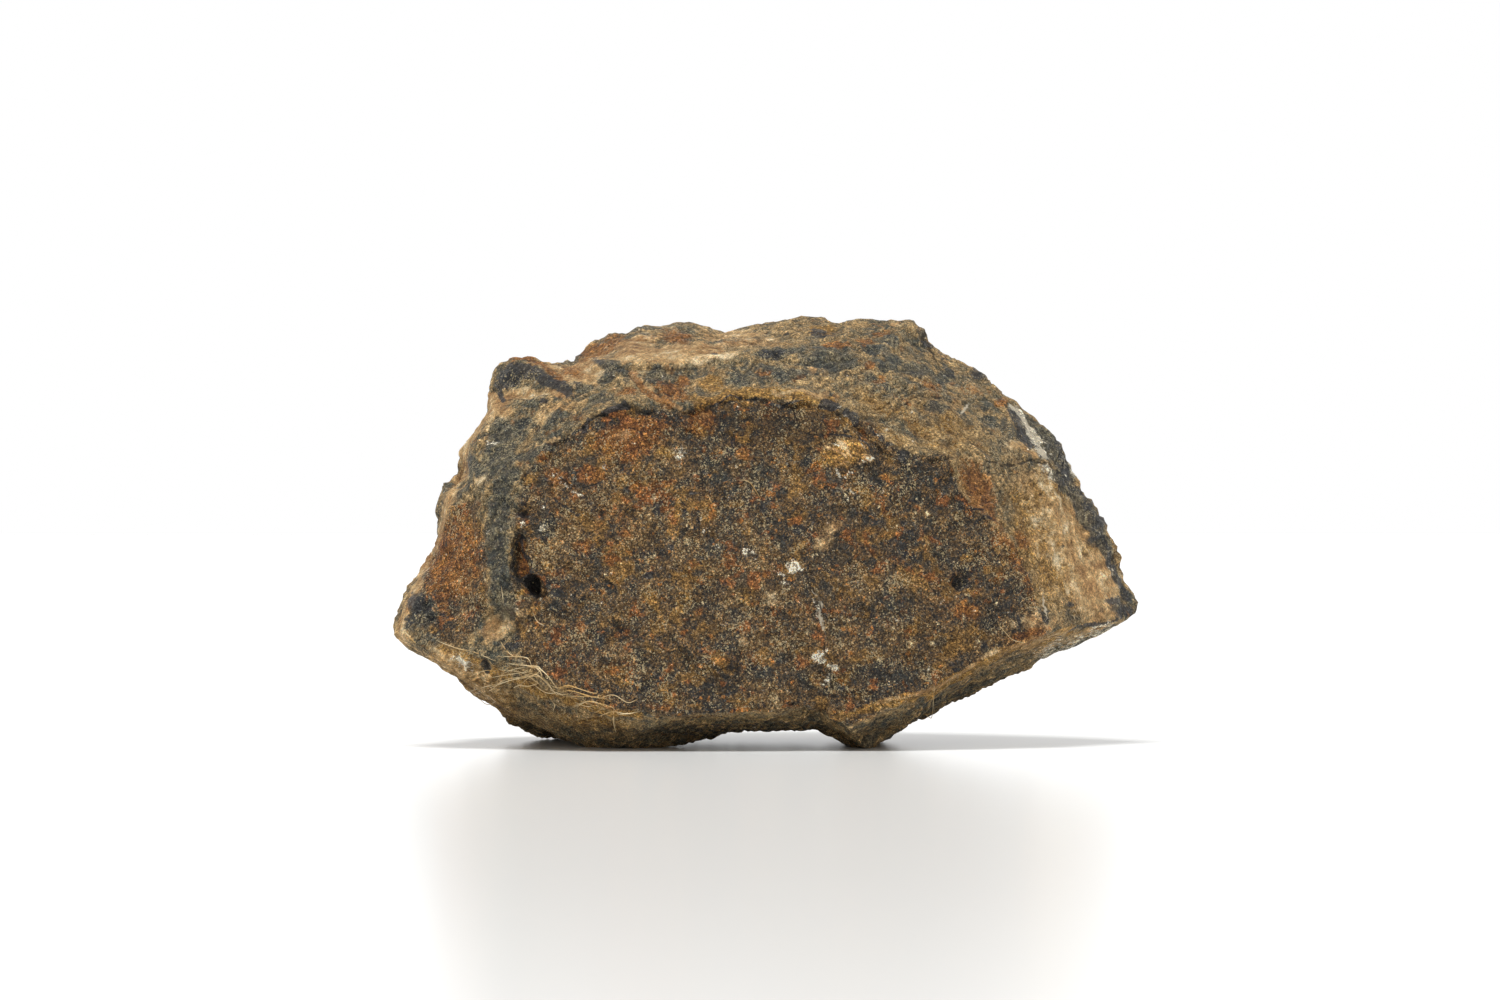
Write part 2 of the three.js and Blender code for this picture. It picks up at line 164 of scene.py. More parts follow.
# What is seen on the front, placed on the photo: column, row, half width and half height in
# its pixels, turn in degrees, and strength. Each group is one kind of weathering.
# Some dark and pale marks among them are painted shade and glints, as noted in their groups.
STAINS = {
    "slate": [
        # upper left, and two on the crest
        (498, 448, 16, 24, 30, 0.7), (474, 474, 9, 18, -24, 0.6), (548, 424, 16, 7, 30, 0.7),
        (466, 478, 9, 30, -24, 0.9), (425, 612, 18, 20, 0, 0.8), (492, 464, 14, 20, -20, 0.95),
        (515, 428, 20, 9, 35, 0.95), (528, 455, 18, 7, 15, 0.8), (511, 379, 15, 9, 15, 0.9),
        (560, 416, 12, 6, 20, 0.85), (530, 402, 12, 5, 0, 0.85), (592, 404, 16, 5, 15, 0.85),
        (575, 398, 8, 4, 0, 0.7), (545, 448, 14, 5, 10, 0.85), (790, 352, 24, 5, 0, 0.8),
        (740, 380, 20, 8, 0, 0.8),
        # blotches on the crest
        (583, 388, 10, 8, 0, 0.95), (607, 379, 13, 6, 0, 0.9), (616, 364, 14, 5, 0, 0.85),
        (660, 378, 22, 9, 0, 0.85), (835, 360, 30, 12, 0, 1.0), (770, 354, 22, 6, 0, 1.0),
        (870, 352, 12, 7, 0, 0.9), (890, 341, 9, 11, 0, 0.95), (916, 370, 20, 9, 0, 1.0),
        (945, 375, 9, 10, 0, 1.0), (890, 363, 14, 8, 0, 0.9), (940, 405, 18, 14, 0, 0.7),
        (985, 420, 14, 8, -30, 0.6), (890, 395, 14, 6, -20, 0.6), (1008, 410, 10, 6, -40, 0.7),
        # patches beside the rim
        (1094, 540, 13, 12, 20, 0.55), (1118, 606, 15, 10, 20, 0.65), (1100, 612, 12, 6, 20, 0.45),
        (1060, 500, 12, 16, -30, 0.35), (1046, 560, 10, 24, 10, 0.3),
        # band under the crest
        (655, 373, 14, 6, 20, 0.9), (598, 399, 12, 5, 0, 0.85), (775, 372, 66, 12, 0, 0.66),
        (825, 360, 34, 12, 0, 0.9), (880, 385, 40, 16, -20, 0.5), (610, 368, 22, 6, -20, 0.9),
        (560, 395, 40, 10, 25, 0.45), (545, 425, 40, 12, 38, 0.5),
        # top right
        (925, 352, 16, 8, -30, 0.5), (1000, 430, 26, 20, -40, 0.4),
        # front
        (680, 612, 56, 40, 0, 0.35), (880, 600, 66, 50, 0, 0.4), (800, 510, 44, 30, 0, 0.3),
        (655, 470, 44, 22, 0, 0.4), (740, 470, 60, 34, 0, 0.5), (930, 520, 40, 30, 0, 0.35),
        (600, 560, 40, 40, 0, 0.25),
        # undersides
        (940, 702, 80, 12, 25, 0.5), (600, 735, 60, 8, 0, 0.4), (1010, 690, 60, 8, 27, 0.5),
        (1062, 656, 46, 10, 25, 0.7), (1104, 632, 26, 6, 25, 0.55),
    ],
    "rust": [
        # crisp patches on the front
        (618, 437, 24, 15, 0, 1.0), (645, 447, 13, 10, 0, 1.0), (655, 424, 15, 7, 0, 0.95),
        (705, 420, 11, 14, 0, 1.0), (590, 475, 15, 8, 0, 1.0), (556, 476, 18, 12, 0, 0.7),
        (742, 456, 10, 7, 0, 0.95), (664, 484, 15, 4, 8, 0.9), (636, 487, 12, 8, 0, 0.8),
        (815, 468, 12, 5, 30, 1.0), (583, 547, 14, 11, 0, 0.75), (560, 572, 16, 10, 0, 0.6),
        (625, 533, 9, 4, 10, 0.8), (578, 628, 9, 7, 0, 0.7), (657, 559, 5, 4, 0, 0.8),
        (1000, 578, 9, 5, 0, 0.85), (1022, 540, 9, 14, 20, 0.8), (1030, 634, 28, 7, 18, 0.8),
        (980, 500, 14, 9, 0, 0.9), (895, 560, 16, 8, 0, 0.5), (870, 555, 10, 6, 0, 0.7),
        (700, 612, 6, 8, 30, 0.7), (620, 668, 20, 8, 0, 0.6), (660, 705, 22, 6, 0, 0.7),
        (1000, 402, 8, 8, 0, 0.8), (974, 390, 16, 8, -30, 0.6), (880, 380, 7, 4, 0, 0.9),
        (672, 336, 16, 9, 0, 0.8),
        # left-hand face
        (452, 562, 34, 62, -15, 0.7),
        # trough at the right
        (981, 489, 15, 36, 25, 0.92), (965, 612, 20, 12, 0, 0.75), (955, 600, 40, 28, 0, 0.4),
        # upper front
        (628, 440, 46, 24, 10, 0.8), (655, 425, 30, 12, 0, 0.7), (700, 426, 24, 16, 0, 0.6),
        (745, 458, 14, 6, 0, 0.6), (780, 420, 34, 12, 0, 0.3), (560, 500, 34, 30, 0, 0.35),
        # saddle
        (600, 350, 34, 8, 28, 0.75), (645, 340, 34, 6, 10, 0.5), (571, 372, 14, 7, 0, 0.7),
        (676, 337, 18, 8, 0, 1.0), (735, 345, 30, 6, 0, 0.5),
        # crest
        (930, 385, 16, 6, -30, 0.75), (870, 366, 8, 4, 0, 0.8), (762, 372, 12, 4, 0, 0.65),
        (718, 352, 12, 4, 0, 0.6), (905, 400, 14, 4, -25, 0.6), (800, 378, 10, 3, 0, 0.6),
        # beside the slanting lip
        (672, 390, 22, 12, -20, 0.9), (626, 391, 15, 7, 0, 0.85), (684, 381, 9, 6, 0, 0.85),
        # middle of the front
        (612, 520, 30, 36, 0, 0.42), (740, 660, 50, 20, 0, 0.4), (700, 500, 34, 24, 0, 0.35),
        (880, 540, 30, 24, 0, 0.35), (600, 660, 50, 20, 0, 0.35),
        # inside the slit
        (519, 556, 5, 20, 4, 1.0), (522, 570, 8, 11, 4, 1.0), (527, 592, 5, 5, 0, 0.8),
        # flakes on the skin
        (835, 347, 16, 4, 0, 1.0), (866, 342, 14, 4, 0, 0.9), (672, 336, 14, 7, 0, 1.0),
        (560, 380, 14, 7, 0, 0.5), (590, 358, 20, 12, 30, 0.5), (884, 378, 5, 5, 0, 0.9),
        (880, 334, 12, 4, 0, 0.7),
    ],
    "ochre": [
        # golden flakes and crystals
        (711, 383, 16, 9, 0, 1.0), (730, 392, 12, 6, 0, 0.85), (690, 398, 12, 5, 0, 0.8),
        (846, 454, 25, 15, 12, 1.0), (822, 466, 10, 4, 25, 1.0), (662, 451, 11, 8, 0, 1.0),
        (650, 600, 9, 11, 0, 0.8), (684, 603, 8, 14, 0, 0.8), (676, 512, 4, 12, -15, 0.9),
        (640, 575, 12, 8, 0, 0.5), (520, 594, 4, 7, -30, 1.0), (920, 430, 24, 10, -30, 0.6),
        (735, 505, 12, 6, 20, 0.5), (800, 545, 12, 8, 0, 0.5), (870, 500, 14, 10, 0, 0.5),
        (965, 560, 9, 5, 0, 0.8),
        # left-hand underside
        (480, 690, 80, 26, -35, 0.65), (437, 658, 10, 5, 0, 0.9), (488, 679, 10, 5, 0, 0.9),
        (590, 722, 60, 10, -8, 0.6),
        # top
        (822, 330, 16, 6, 0, 0.9), (770, 345, 40, 8, 0, 0.5),
        # slope at the upper right
        (950, 425, 60, 22, -42, 0.6), (880, 405, 40, 12, -25, 0.6),
        # right-hand face
        (1060, 540, 60, 100, 28, 0.75),
        # front flakes
        (610, 448, 12, 9, 0, 0.8), (668, 456, 8, 5, 0, 0.9), (848, 450, 22, 15, 20, 0.9),
        (700, 430, 8, 12, 20, 0.8),
    ],
    "clay": [
        # knob and strip down its left side
        (546, 369, 22, 5, -6, 0.85), (586, 374, 20, 15, 0, 0.95), (482, 478, 7, 5, 0, 0.9),
        (600, 400, 16, 6, 20, 0.4),
        # pale tan of the front
        (825, 545, 14, 12, 0, 0.6), (833, 530, 12, 7, 20, 0.6), (742, 640, 8, 6, 0, 0.4),
        (770, 600, 10, 8, 0, 0.4),
        # right-hand face
        (1094, 590, 32, 46, 30, 0.9), (1064, 530, 40, 60, 28, 0.6), (1100, 570, 14, 24, 30, 0.9),
        (1035, 480, 30, 20, 0, 0.6), (1040, 625, 30, 16, 0, 0.5), (960, 400, 40, 14, -38, 0.4),
        # saddle and ridge
        (585, 370, 34, 14, 28, 0.9), (630, 350, 30, 14, 30, 0.8), (680, 354, 60, 12, 0, 0.95),
        (740, 340, 50, 12, 0, 0.6), (690, 330, 80, 6, 0, 0.4),
        # left-hand bevel
        (560, 408, 50, 10, 30, 0.5), (504, 412, 10, 12, -30, 0.7),
        # scoop beside the slit
        (499, 625, 25, 13, 35, 1.0), (508, 612, 10, 8, 0, 0.7),
        # undersides
        (470, 680, 70, 24, -35, 0.5),
        # bright flecks and crystals
        (842, 446, 8, 5, 40, 0.55), (862, 455, 7, 4, -20, 0.5), (520, 596, 4, 3, 0, 0.9),
        (892, 327, 7, 4, 0, 0.9), (814, 371, 4, 3, 0, 0.9), (622, 436, 7, 6, 30, 0.8),
        (706, 414, 10, 4, 0, 0.7), (560, 486, 8, 3, 20, 0.6),
    ],
    "crust": [
        # dark blots on the front
        (697, 492, 7, 3, 0, 0.75), (657, 508, 5, 6, 0, 0.85), (672, 549, 3, 4, 0, 1.0),
        (650, 575, 7, 4, 0, 0.95), (798, 529, 9, 6, 0, 0.7), (555, 592, 7, 5, 0, 0.8),
        (600, 642, 6, 5, 0, 0.7), (632, 641, 6, 5, 0, 0.6), (890, 445, 6, 3, 0, 0.9),
        (1122, 613, 9, 9, 0, 0.85), (1114, 600, 12, 5, 0, 0.75), (1090, 540, 9, 5, 0, 0.6),
        (925, 346, 9, 4, -10, 0.95), (772, 354, 18, 3, 8, 0.9), (716, 357, 6, 2.5, 0, 0.9),
        (978, 374, 10, 4, -20, 0.7), (413, 600, 6, 6, 0, 0.85), (410, 622, 7, 7, 0, 0.7),
        (586, 428, 4, 7, -30, 0.95), (1022, 437, 7, 11, 20, 1.0), (903, 458, 8, 9, -25, 1.0),
        (1098, 523, 6, 7, 0, 0.8), (1048, 618, 7, 5, -30, 0.9), (955, 663, 9, 4, 20, 0.6),
        (620, 665, 10, 4, 15, 0.6), (895, 605, 5, 3, 0, 0.6), (730, 530, 4, 3, 0, 0.7),
        (765, 510, 6, 4, 0, 0.6),
        # knob
        (511, 379, 15, 11, 15, 1.0), (500, 395, 4, 5, 0, 0.8), (545, 401, 6, 3, 0, 0.8),
        # spots
        (1062, 548, 3, 3, 0, 0.8), (1070, 607, 3, 3, 0, 0.8), (1049, 621, 5, 5, 0, 1.0),
        (903, 459, 7, 6, 0, 1.0), (880, 439, 4, 4, 0, 1.0), (523, 515, 9, 5, 0, 0.75),
        (531, 563, 4, 7, 10, 0.6), (512, 648, 12, 6, 20, 0.8), (1046, 612, 10, 7, 0, 0.6),
        (820, 334, 12, 6, 0, 0.7), (768, 356, 12, 5, 0, 0.8), (600, 364, 14, 4, -20, 0.55),
        (579, 384, 8, 5, 0, 0.5),
        # left-hand tip
        (416, 604, 12, 14, 0, 0.7), (466, 462, 8, 14, -30, 0.6),
        # holes: painted shade inside the pits and the hole
        (530, 582, 8, 5, -30, 1.0), (536, 589, 4, 9, 15, 1.0), (427, 607, 5, 5, 0, 1.0),
        (429, 618, 5, 4, 0, 1.0), (485, 667, 6, 5, 0, 1.0), (961, 582, 8, 11, -25, 1.0),
        # under the middle: painted shade along the underside
        (720, 730, 130, 9, 0, 0.5),
    ],
    "lime": [
        # bright flakes; the last two, on the knob's dark crust, are painted glints
        (1036, 441, 6, 18, 25, 1.0), (1071, 477, 6, 4, 0, 0.85), (838, 406, 4, 1.5, 0, 0.9),
        (684, 452, 12, 10, 0, 0.44), (465, 663, 14, 6, -25, 0.85), (541, 527, 5, 5, 0, 0.85),
        (522, 527, 4, 4, 0, 0.5), (895, 622, 4, 5, 0, 0.7), (784, 580, 4, 3, 0, 0.9),
        (750, 554, 9, 5, -20, 0.95), (795, 568, 9, 7, 0, 1.0), (820, 612, 5, 9, 20, 0.9),
        (819, 657, 8, 6, 0, 1.0), (832, 668, 6, 6, 0, 0.95), (493, 443, 8, 3, 10, 0.95),
        (488, 531, 4, 2, 0, 0.8), (516, 611, 3, 3, 0, 0.6), (545, 600, 3, 3, 0, 0.7),
        (1112, 572, 5, 5, 0, 0.6), (510, 388, 3, 1.5, 20, 0.7), (536, 384, 5, 1, -10, 0.5),
        # caliche
        (748, 554, 7, 5, 0, 0.8), (794, 568, 10, 8, -20, 0.95), (784, 574, 6, 3, 0, 0.8),
        (820, 610, 5, 13, 0, 0.7), (820, 657, 8, 7, 0, 0.95), (831, 667, 7, 5, 0, 0.85),
        (828, 680, 5, 7, 0, 0.7), (466, 664, 12, 5, -20, 0.7), (560, 480, 10, 6, 0, 0.5),
        (600, 470, 8, 4, 0, 0.5),
    ],
}
# Stains that run along a line: the line, its half width in pixels, and strength.
STREAKS = {
    "slate": [
        ([(500, 430), (508, 470), (498, 520), (500, 590), (506, 612)], 14, 0.78),
        ([(1042, 432), (1056, 455), (1066, 480)], 9, 0.9),
        ([(1052, 474), (1072, 496), (1088, 520), (1098, 536)], 7, 0.8),
        ([(1100, 540), (1114, 570), (1130, 602)], 4, 0.8),
    ],
    "rust": [
        ([(633, 374), (645, 386), (660, 398), (672, 405)], 5, 0.8),
        ([(985, 490), (1002, 530), (1022, 575), (1034, 600)], 6, 0.55),
        ([(515, 363), (530, 362), (548, 370), (562, 378)], 4, 0.8),
    ],
    "ochre": [
        ([(1070, 631), (1040, 641), (1000, 654), (960, 677), (930, 692), (880, 704),
            (850, 716)], 5, 0.9),
        ([(440, 648), (480, 664), (520, 682), (560, 700), (600, 710), (640, 716)], 5, 0.8),
        ([(697, 405), (725, 397), (757, 392), (790, 394), (830, 400)], 6, 1.0),
        ([(860, 415), (900, 440), (960, 450)], 8, 0.5),
    ],
    "clay": [
        ([(826, 448), (842, 456)], 2, 0.9),
        ([(840, 440), (848, 455)], 2, 0.9),
        ([(852, 455), (868, 444)], 2, 0.9),
        ([(856, 462), (874, 458)], 2, 0.8),
        ([(836, 470), (846, 460)], 2, 0.8),
        ([(500, 402), (514, 396), (530, 391), (548, 390), (563, 392)], 3.5, 1.0),
        ([(493, 398), (490, 412), (478, 428), (466, 445), (455, 464)], 6, 1.0),
        ([(462, 484), (456, 503)], 2.5, 1.0),
        ([(650, 386), (664, 398), (680, 409)], 3, 0.8),
        ([(560, 437), (545, 446), (530, 452)], 2.5, 0.7),
        ([(720, 400), (690, 404)], 2, 0.6),
        ([(775, 393), (800, 392), (828, 396)], 3, 0.7),
        ([(1010, 444), (1026, 447), (1036, 456)], 5, 0.9),
        ([(1075, 628), (1040, 640), (1000, 652), (960, 675), (930, 690), (880, 702)], 3.5, 0.6),
        ([(404, 645), (402, 625), (412, 600), (425, 565), (440, 530), (446, 505), (456, 470),
            (470, 440), (482, 420)], 5, 0.9),
        ([(620, 356), (650, 352), (690, 354), (735, 356)], 5, 1.0),
        ([(1035, 655), (1075, 641), (1120, 622)], 8, 0.4),
        ([(633, 373), (648, 388)], 3, 0.8),
    ],
    "crust": [
        ([(1060, 634), (1092, 625), (1128, 618)], 1.5, 0.9),
        ([(516, 374), (538, 378), (553, 384), (566, 391)], 7, 1.0),
        ([(497, 384), (499, 392), (504, 399)], 4, 1.0),
        ([(519, 538), (514, 550), (513, 562), (511, 575)], 2.0, 1.0),
        ([(519, 538), (525, 554), (531, 566), (529, 577)], 1.8, 1.0),
        ([(513, 577), (524, 583)], 1.8, 0.9),
        # this and the next four run under the lip of the front's top edge: dark crust and painted shadow
        # below the lip
        ([(604, 414), (614, 410), (628, 407)], 3.5, 1.0),
        ([(715, 403), (735, 398), (757, 398)], 1.5, 0.8),
        ([(768, 402), (785, 405), (800, 401)], 2, 0.9),
        ([(822, 404), (838, 408)], 4, 0.95),
        ([(846, 414), (857, 424)], 4, 0.95),
        ([(1016, 412), (1030, 435), (1042, 456)], 3, 1.0),
        ([(830, 436), (842, 436), (850, 437)], 1.2, 0.9),
        ([(862, 431), (858, 440), (866, 444), (870, 452)], 1.5, 0.95),
        ([(872, 432), (880, 440)], 1.2, 0.9),
        ([(556, 500), (566, 508), (578, 516)], 1.5, 0.8),
        ([(955, 473), (949, 486), (942, 499)], 1.6, 0.8),
        ([(960, 507), (974, 510), (984, 512)], 1.3, 0.8),
        ([(974, 522), (983, 518), (992, 523)], 1.5, 0.7),
        ([(1018, 618), (1024, 629)], 2.5, 0.9),
        # dark crust and painted shadow below the same lip
        ([(572, 434), (586, 425), (598, 416)], 2, 0.8),
        ([(1010, 412), (1021, 430), (1028, 446)], 4, 1.0),
        ([(1058, 440), (1066, 478)], 5, 0.7),
        ([(1060, 480), (1076, 496), (1096, 534)], 5, 0.55),
        ([(1098, 538), (1114, 570), (1130, 602), (1134, 618)], 3, 0.7),
        ([(938, 350), (950, 372), (962, 378)], 4, 0.5),
    ],
    "lime": [
        ([(834, 443), (841, 449)], 1.1, 0.8),
        ([(864, 461), (872, 459)], 1.6, 1.0),
        ([(837, 467), (842, 476)], 1.5, 1.0),
        ([(848, 478), (854, 474)], 1.3, 0.9),
        ([(878, 435), (888, 432)], 1.5, 0.9),
        ([(862, 444), (868, 450)], 1.1, 0.8),
        ([(849, 490), (858, 494)], 1.5, 0.9),
        ([(570, 490), (584, 496)], 1.5, 0.6),
        ([(870, 488), (884, 492)], 1.2, 0.6),
        ([(700, 520), (706, 536)], 1.5, 0.6),
        ([(712, 545), (722, 552)], 1.5, 0.7),
        ([(1011, 407), (1024, 420), (1035, 440), (1046, 458)], 4, 1.0),
        ([(1046, 470), (1052, 480)], 4, 0.7),
        ([(1040, 655), (1075, 642), (1110, 628)], 7, 0.6),
    ],
}
# Outlines of the two freshest breaks: the broad front face and the left-hand one.
BREAKS = [
    [(547, 445), (580, 427), (600, 412), (620, 406), (642, 410), (687, 410), (697, 406), (727, 396),
        (755, 395), (775, 397), (790, 404), (805, 400), (830, 406), (845, 417), (870, 425), (900, 452),
        (937, 457), (950, 455), (957, 474), (958, 488), (982, 516), (1003, 537), (1022, 558),
        (1036, 592), (1047, 628), (1000, 652), (960, 672), (900, 702), (850, 726), (832, 716),
        (808, 708), (740, 713), (680, 718), (600, 708), (555, 684), (525, 664), (514, 640), (512, 600),
        (513, 560), (516, 520), (524, 474)],
    [(478, 500), (486, 560), (488, 612), (466, 642), (440, 642), (412, 618), (422, 580), (440, 540),
        (452, 505)],
]
# Places made darker or, where negative, lighter than their colour alone: tone of patches, and painted shade
# and painted light.
SHADE_AND_TONE_MARKS = [
    # darker: tone of the knob's crust and of patches, and painted shade in the pit, the hole and the slit
    (520, 379, 13, 7, 10, 0.6), (552, 384, 11, 4, -22, 0.7), (700, 440, 90, 26, 0, 0.1),
    (498, 448, 14, 20, 30, 0.15), (690, 345, 90, 14, 0, 0.15), (590, 368, 30, 16, 0, 0.2),
    (903, 459, 6, 5, 0, 0.8), (722, 422, 44, 14, 0, 0.5), (795, 428, 44, 22, 0, 1.1),
    (745, 470, 36, 14, 0, 0.4), (700, 600, 30, 40, 0, 0.15), (540, 384, 24, 8, -10, 0.5),
    (1020, 436, 8, 14, 20, 0.5), (530, 583, 8, 5, -30, 0.6), (536, 588, 4, 9, 15, 0.8),
    (516, 552, 4, 16, 0, 0.5), (513, 572, 4, 8, 0, 0.5),
    # lighter: tone of crystals, flecks and patches, and painted light on the underside and the right-hand
    # face
    (849, 453, 24, 13, 8, -1.0), (820, 467, 9, 4, 25, -0.6), (500, 624, 22, 14, 35, -0.5),
    (556, 404, 40, 10, 30, -0.3), (800, 365, 60, 20, 0, -0.2), (1068, 598, 8, 6, 0, -0.6),
    (1095, 580, 14, 10, 0, -0.4), (720, 725, 90, 10, 0, -0.4), (1080, 560, 50, 80, 28, -0.2),
]
# Places that are raised or, where negative, sunk: height in millimetres instead of strength.
DENTS_AND_LUMPS = [
    # knob
    (522, 372, 32, 13, -5, 0.6), (532, 394, 28, 3, 8, -0.35),
    # edges of the outline
    (1092, 515, 12, 46, 30, 0.8), (1076, 472, 8, 16, 30, 0.5), (1120, 556, 8, 14, 25, 0.4),
    (434, 534, 7, 26, -24, -0.3), (458, 474, 9, 18, -20, -0.9), (925, 334, 12, 6, 0, 0.4),
    # slit and hole
    (518, 553, 4, 18, 4, -0.8), (521, 570, 7, 12, 4, -0.7), (530, 583, 8, 6, -30, -0.6),
    (536, 588, 5, 9, 15, -0.9), (523, 515, 8, 6, 0, -0.4),
    # pits at the left end
    (427, 607, 5, 5, 0, -0.6), (429, 618, 5, 4, 0, -0.6), (485, 667, 6, 5, 0, -0.6),
    # nodules
    (836, 446, 6, 4, 40, 0.3), (858, 446, 5, 3, -30, 0.3), (868, 458, 7, 3, -10, 0.3),
    (846, 468, 5, 4, 20, 0.3), (903, 459, 6, 5, 0, 0.3), (880, 439, 4, 4, 0, 0.25),
    (848, 452, 16, 11, 20, 0.25), (812, 462, 7, 4, 0, 0.25), (665, 456, 7, 5, 0, 0.2),
    (650, 448, 6, 6, 0, -0.2),
    # ring pit
    (961, 583, 12, 14, -25, 0.25), (961, 583, 8, 10, -25, -0.9),
    # hollows
    (978, 487, 14, 34, 25, -0.6), (500, 626, 18, 14, 40, -0.3), (900, 500, 40, 30, 0, -0.25),
    (700, 560, 60, 40, 0, 0.15), (560, 490, 24, 8, 20, -0.25), (600, 640, 30, 10, 10, -0.2),
    (672, 386, 18, 14, 0, -0.35),
    # lumps of the top
    (612, 370, 20, 8, -20, 0.35), (720, 362, 34, 8, 0, 0.3), (660, 366, 26, 6, 0, 0.25),
    (817, 350, 28, 9, 0, 0.4), (905, 330, 15, 9, 0, 0.3), (870, 345, 24, 9, 0, 0.25),
    (1000, 420, 22, 14, -40, 0.3), (950, 380, 20, 12, -40, -0.3),
    # foot's lump
    (835, 717, 6, 6, 0, 0.3),
]
# Edges over a drop on their right: the line, the drop in millimetres, and its reach in pixels.
LEDGES = [
    ([(524, 474), (530, 462), (546, 455), (549, 444), (562, 440), (570, 428), (584, 425), (592, 413),
        (612, 412), (622, 402), (642, 408)], 0.36, 22),
    ([(690, 410), (706, 405), (727, 397), (757, 397), (775, 398), (790, 404), (805, 400), (832, 406),
        (850, 420), (862, 430), (884, 448)], 0.5, 22),
    ([(937, 457), (950, 455), (957, 474), (950, 490), (938, 500)], 0.45, 14),
    ([(633, 372), (648, 388), (660, 398), (676, 408)], 0.35, 12),
    ([(600, 368), (640, 364), (676, 366), (720, 362), (750, 364), (775, 354), (806, 362),
        (840, 358)], 0.4, 14),
    ([(800, 706), (812, 712), (824, 708), (836, 716), (846, 728)], 0.5, 12),
    ([(704, 640), (700, 652), (708, 664), (702, 678)], 0.2, 14),
    ([(640, 560), (660, 570), (690, 566), (716, 574)], 0.2, 14),
    ([(870, 470), (884, 490), (880, 510)], 0.2, 12),
    ([(760, 600), (778, 612), (800, 606)], 0.2, 12),
    ([(560, 560), (580, 574), (600, 570), (612, 584)], 0.2, 12),
]
# Open cracks and cream veins: the line, and its half width in millimetres.
CRACKS = [
    ([(806, 574), (812, 590), (818, 598), (822, 612), (829, 624), (824, 640), (826, 652), (832, 664),
        (830, 678), (838, 704)], 0.14),
    ([(992, 463), (1012, 466), (1032, 460), (1047, 463), (1062, 478)], 0.16),
    ([(794, 398), (791, 406), (795, 414), (798, 426)], 0.1),
    ([(928, 347), (931, 354), (938, 362)], 0.15),
    ([(738, 640), (735, 648), (743, 656), (737, 664), (739, 674)], 0.12),
    ([(700, 470), (704, 480), (702, 490), (710, 496)], 0.08),
    ([(560, 478), (572, 486), (586, 488), (600, 482)], 0.1),
    ([(720, 486), (734, 487), (742, 484)], 0.07),
]
VEINS = [
    ([(1010, 406), (1018, 412), (1024, 420), (1031, 432), (1037, 443), (1046, 458)], 0.25),
    ([(1066, 466), (1074, 478)], 0.2),
    ([(1044, 600), (1045, 606), (1046, 613)], 0.1),
    ([(816, 596), (822, 606), (819, 615), (824, 628)], 0.14),
    ([(962, 412), (970, 402)], 0.12),
]
# Plant fibres: tufts of three, and single hairs.
TUFTS = [
    [(474, 692), (492, 686), (512, 677), (536, 674), (543, 670)],
    [(505, 662), (528, 665), (541, 670), (543, 680)],
    [(520, 680), (534, 674), (545, 678), (552, 690)],
    [(548, 682), (560, 686), (578, 688)],
    [(556, 694), (572, 690), (590, 697), (604, 696)],
    [(572, 705), (590, 700), (606, 706)],
    [(600, 700), (612, 696), (628, 702), (640, 699)],
]
HAIRS = [
    [(472, 692), (490, 688), (506, 679), (527, 675), (544, 674)],
    [(510, 661), (535, 666), (544, 672), (544, 678)],
    [(472, 674), (485, 671), (499, 670)],
    [(500, 672), (516, 668), (533, 668), (541, 672)],
    [(490, 676), (512, 672), (536, 671)],
    [(559, 687), (568, 686), (576, 688)],
    [(566, 697), (580, 696), (592, 698)],
    [(575, 704), (586, 703), (596, 705)],
    [(555, 700), (556, 705), (554, 710)],
    [(614, 707), (615, 721), (617, 731)],
    [(932, 683), (932, 695), (931, 710), (929, 715), (926, 714), (925, 712)],
    [(998, 623), (1006, 635), (1014, 641), (1024, 641)],
    [(737, 479), (750, 484), (760, 498)],
    [(500, 640), (510, 652), (526, 660)],
    [(404, 630), (412, 640), (424, 652)],
    [(438, 640), (456, 648), (476, 652), (496, 660)],
    [(533, 612), (538, 622), (543, 626)],
    [(502, 585), (503, 594), (506, 602)],
]


# The stone's shape.


def unit(vectors):
    """Each vector divided by its length."""
    return vectors / np.linalg.norm(vectors, axis=-1, keepdims=True)


def smooth(low, high, value):
    """0 below low, 1 above high, and 3t² - 2t³ between them."""
    t = np.clip((value - low) / (high - low), 0, 1)
    return t * t * (3 - 2 * t)


def box_lattice(steps):
    """Rays from the core through a square lattice on a box of the stone's proportions, and its quads.

    Two whole-number parameters run over each of the six sides, and equal places on two sides are one
    point."""
    steps = np.array(steps)
    quads = []
    for axis in range(3):
        first, second = (axis + 1) % 3, (axis + 2) % 3
        i, j = np.meshgrid(np.arange(steps[first]), np.arange(steps[second]), indexing="ij")
        for end in (0, steps[axis]):
            turn = [(0, 0), (1, 0), (1, 1), (0, 1)]
            corners = np.zeros(i.shape + (4, 3), int)
            corners[..., axis] = end
            for k, (di, dj) in enumerate(turn if end else turn[::-1]):
                corners[..., k, first] = i + di
                corners[..., k, second] = j + dj
            quads.append(corners.reshape(-1, 4, 3))
    places, index = np.unique(np.concatenate(quads).reshape(-1, 3), axis=0, return_inverse=True)
    rays = unit((places / steps - 0.5) * (STONE_WIDTH, STONE_DEPTH, STONE_HEIGHT))
    return rays, index.reshape(-1, 4)


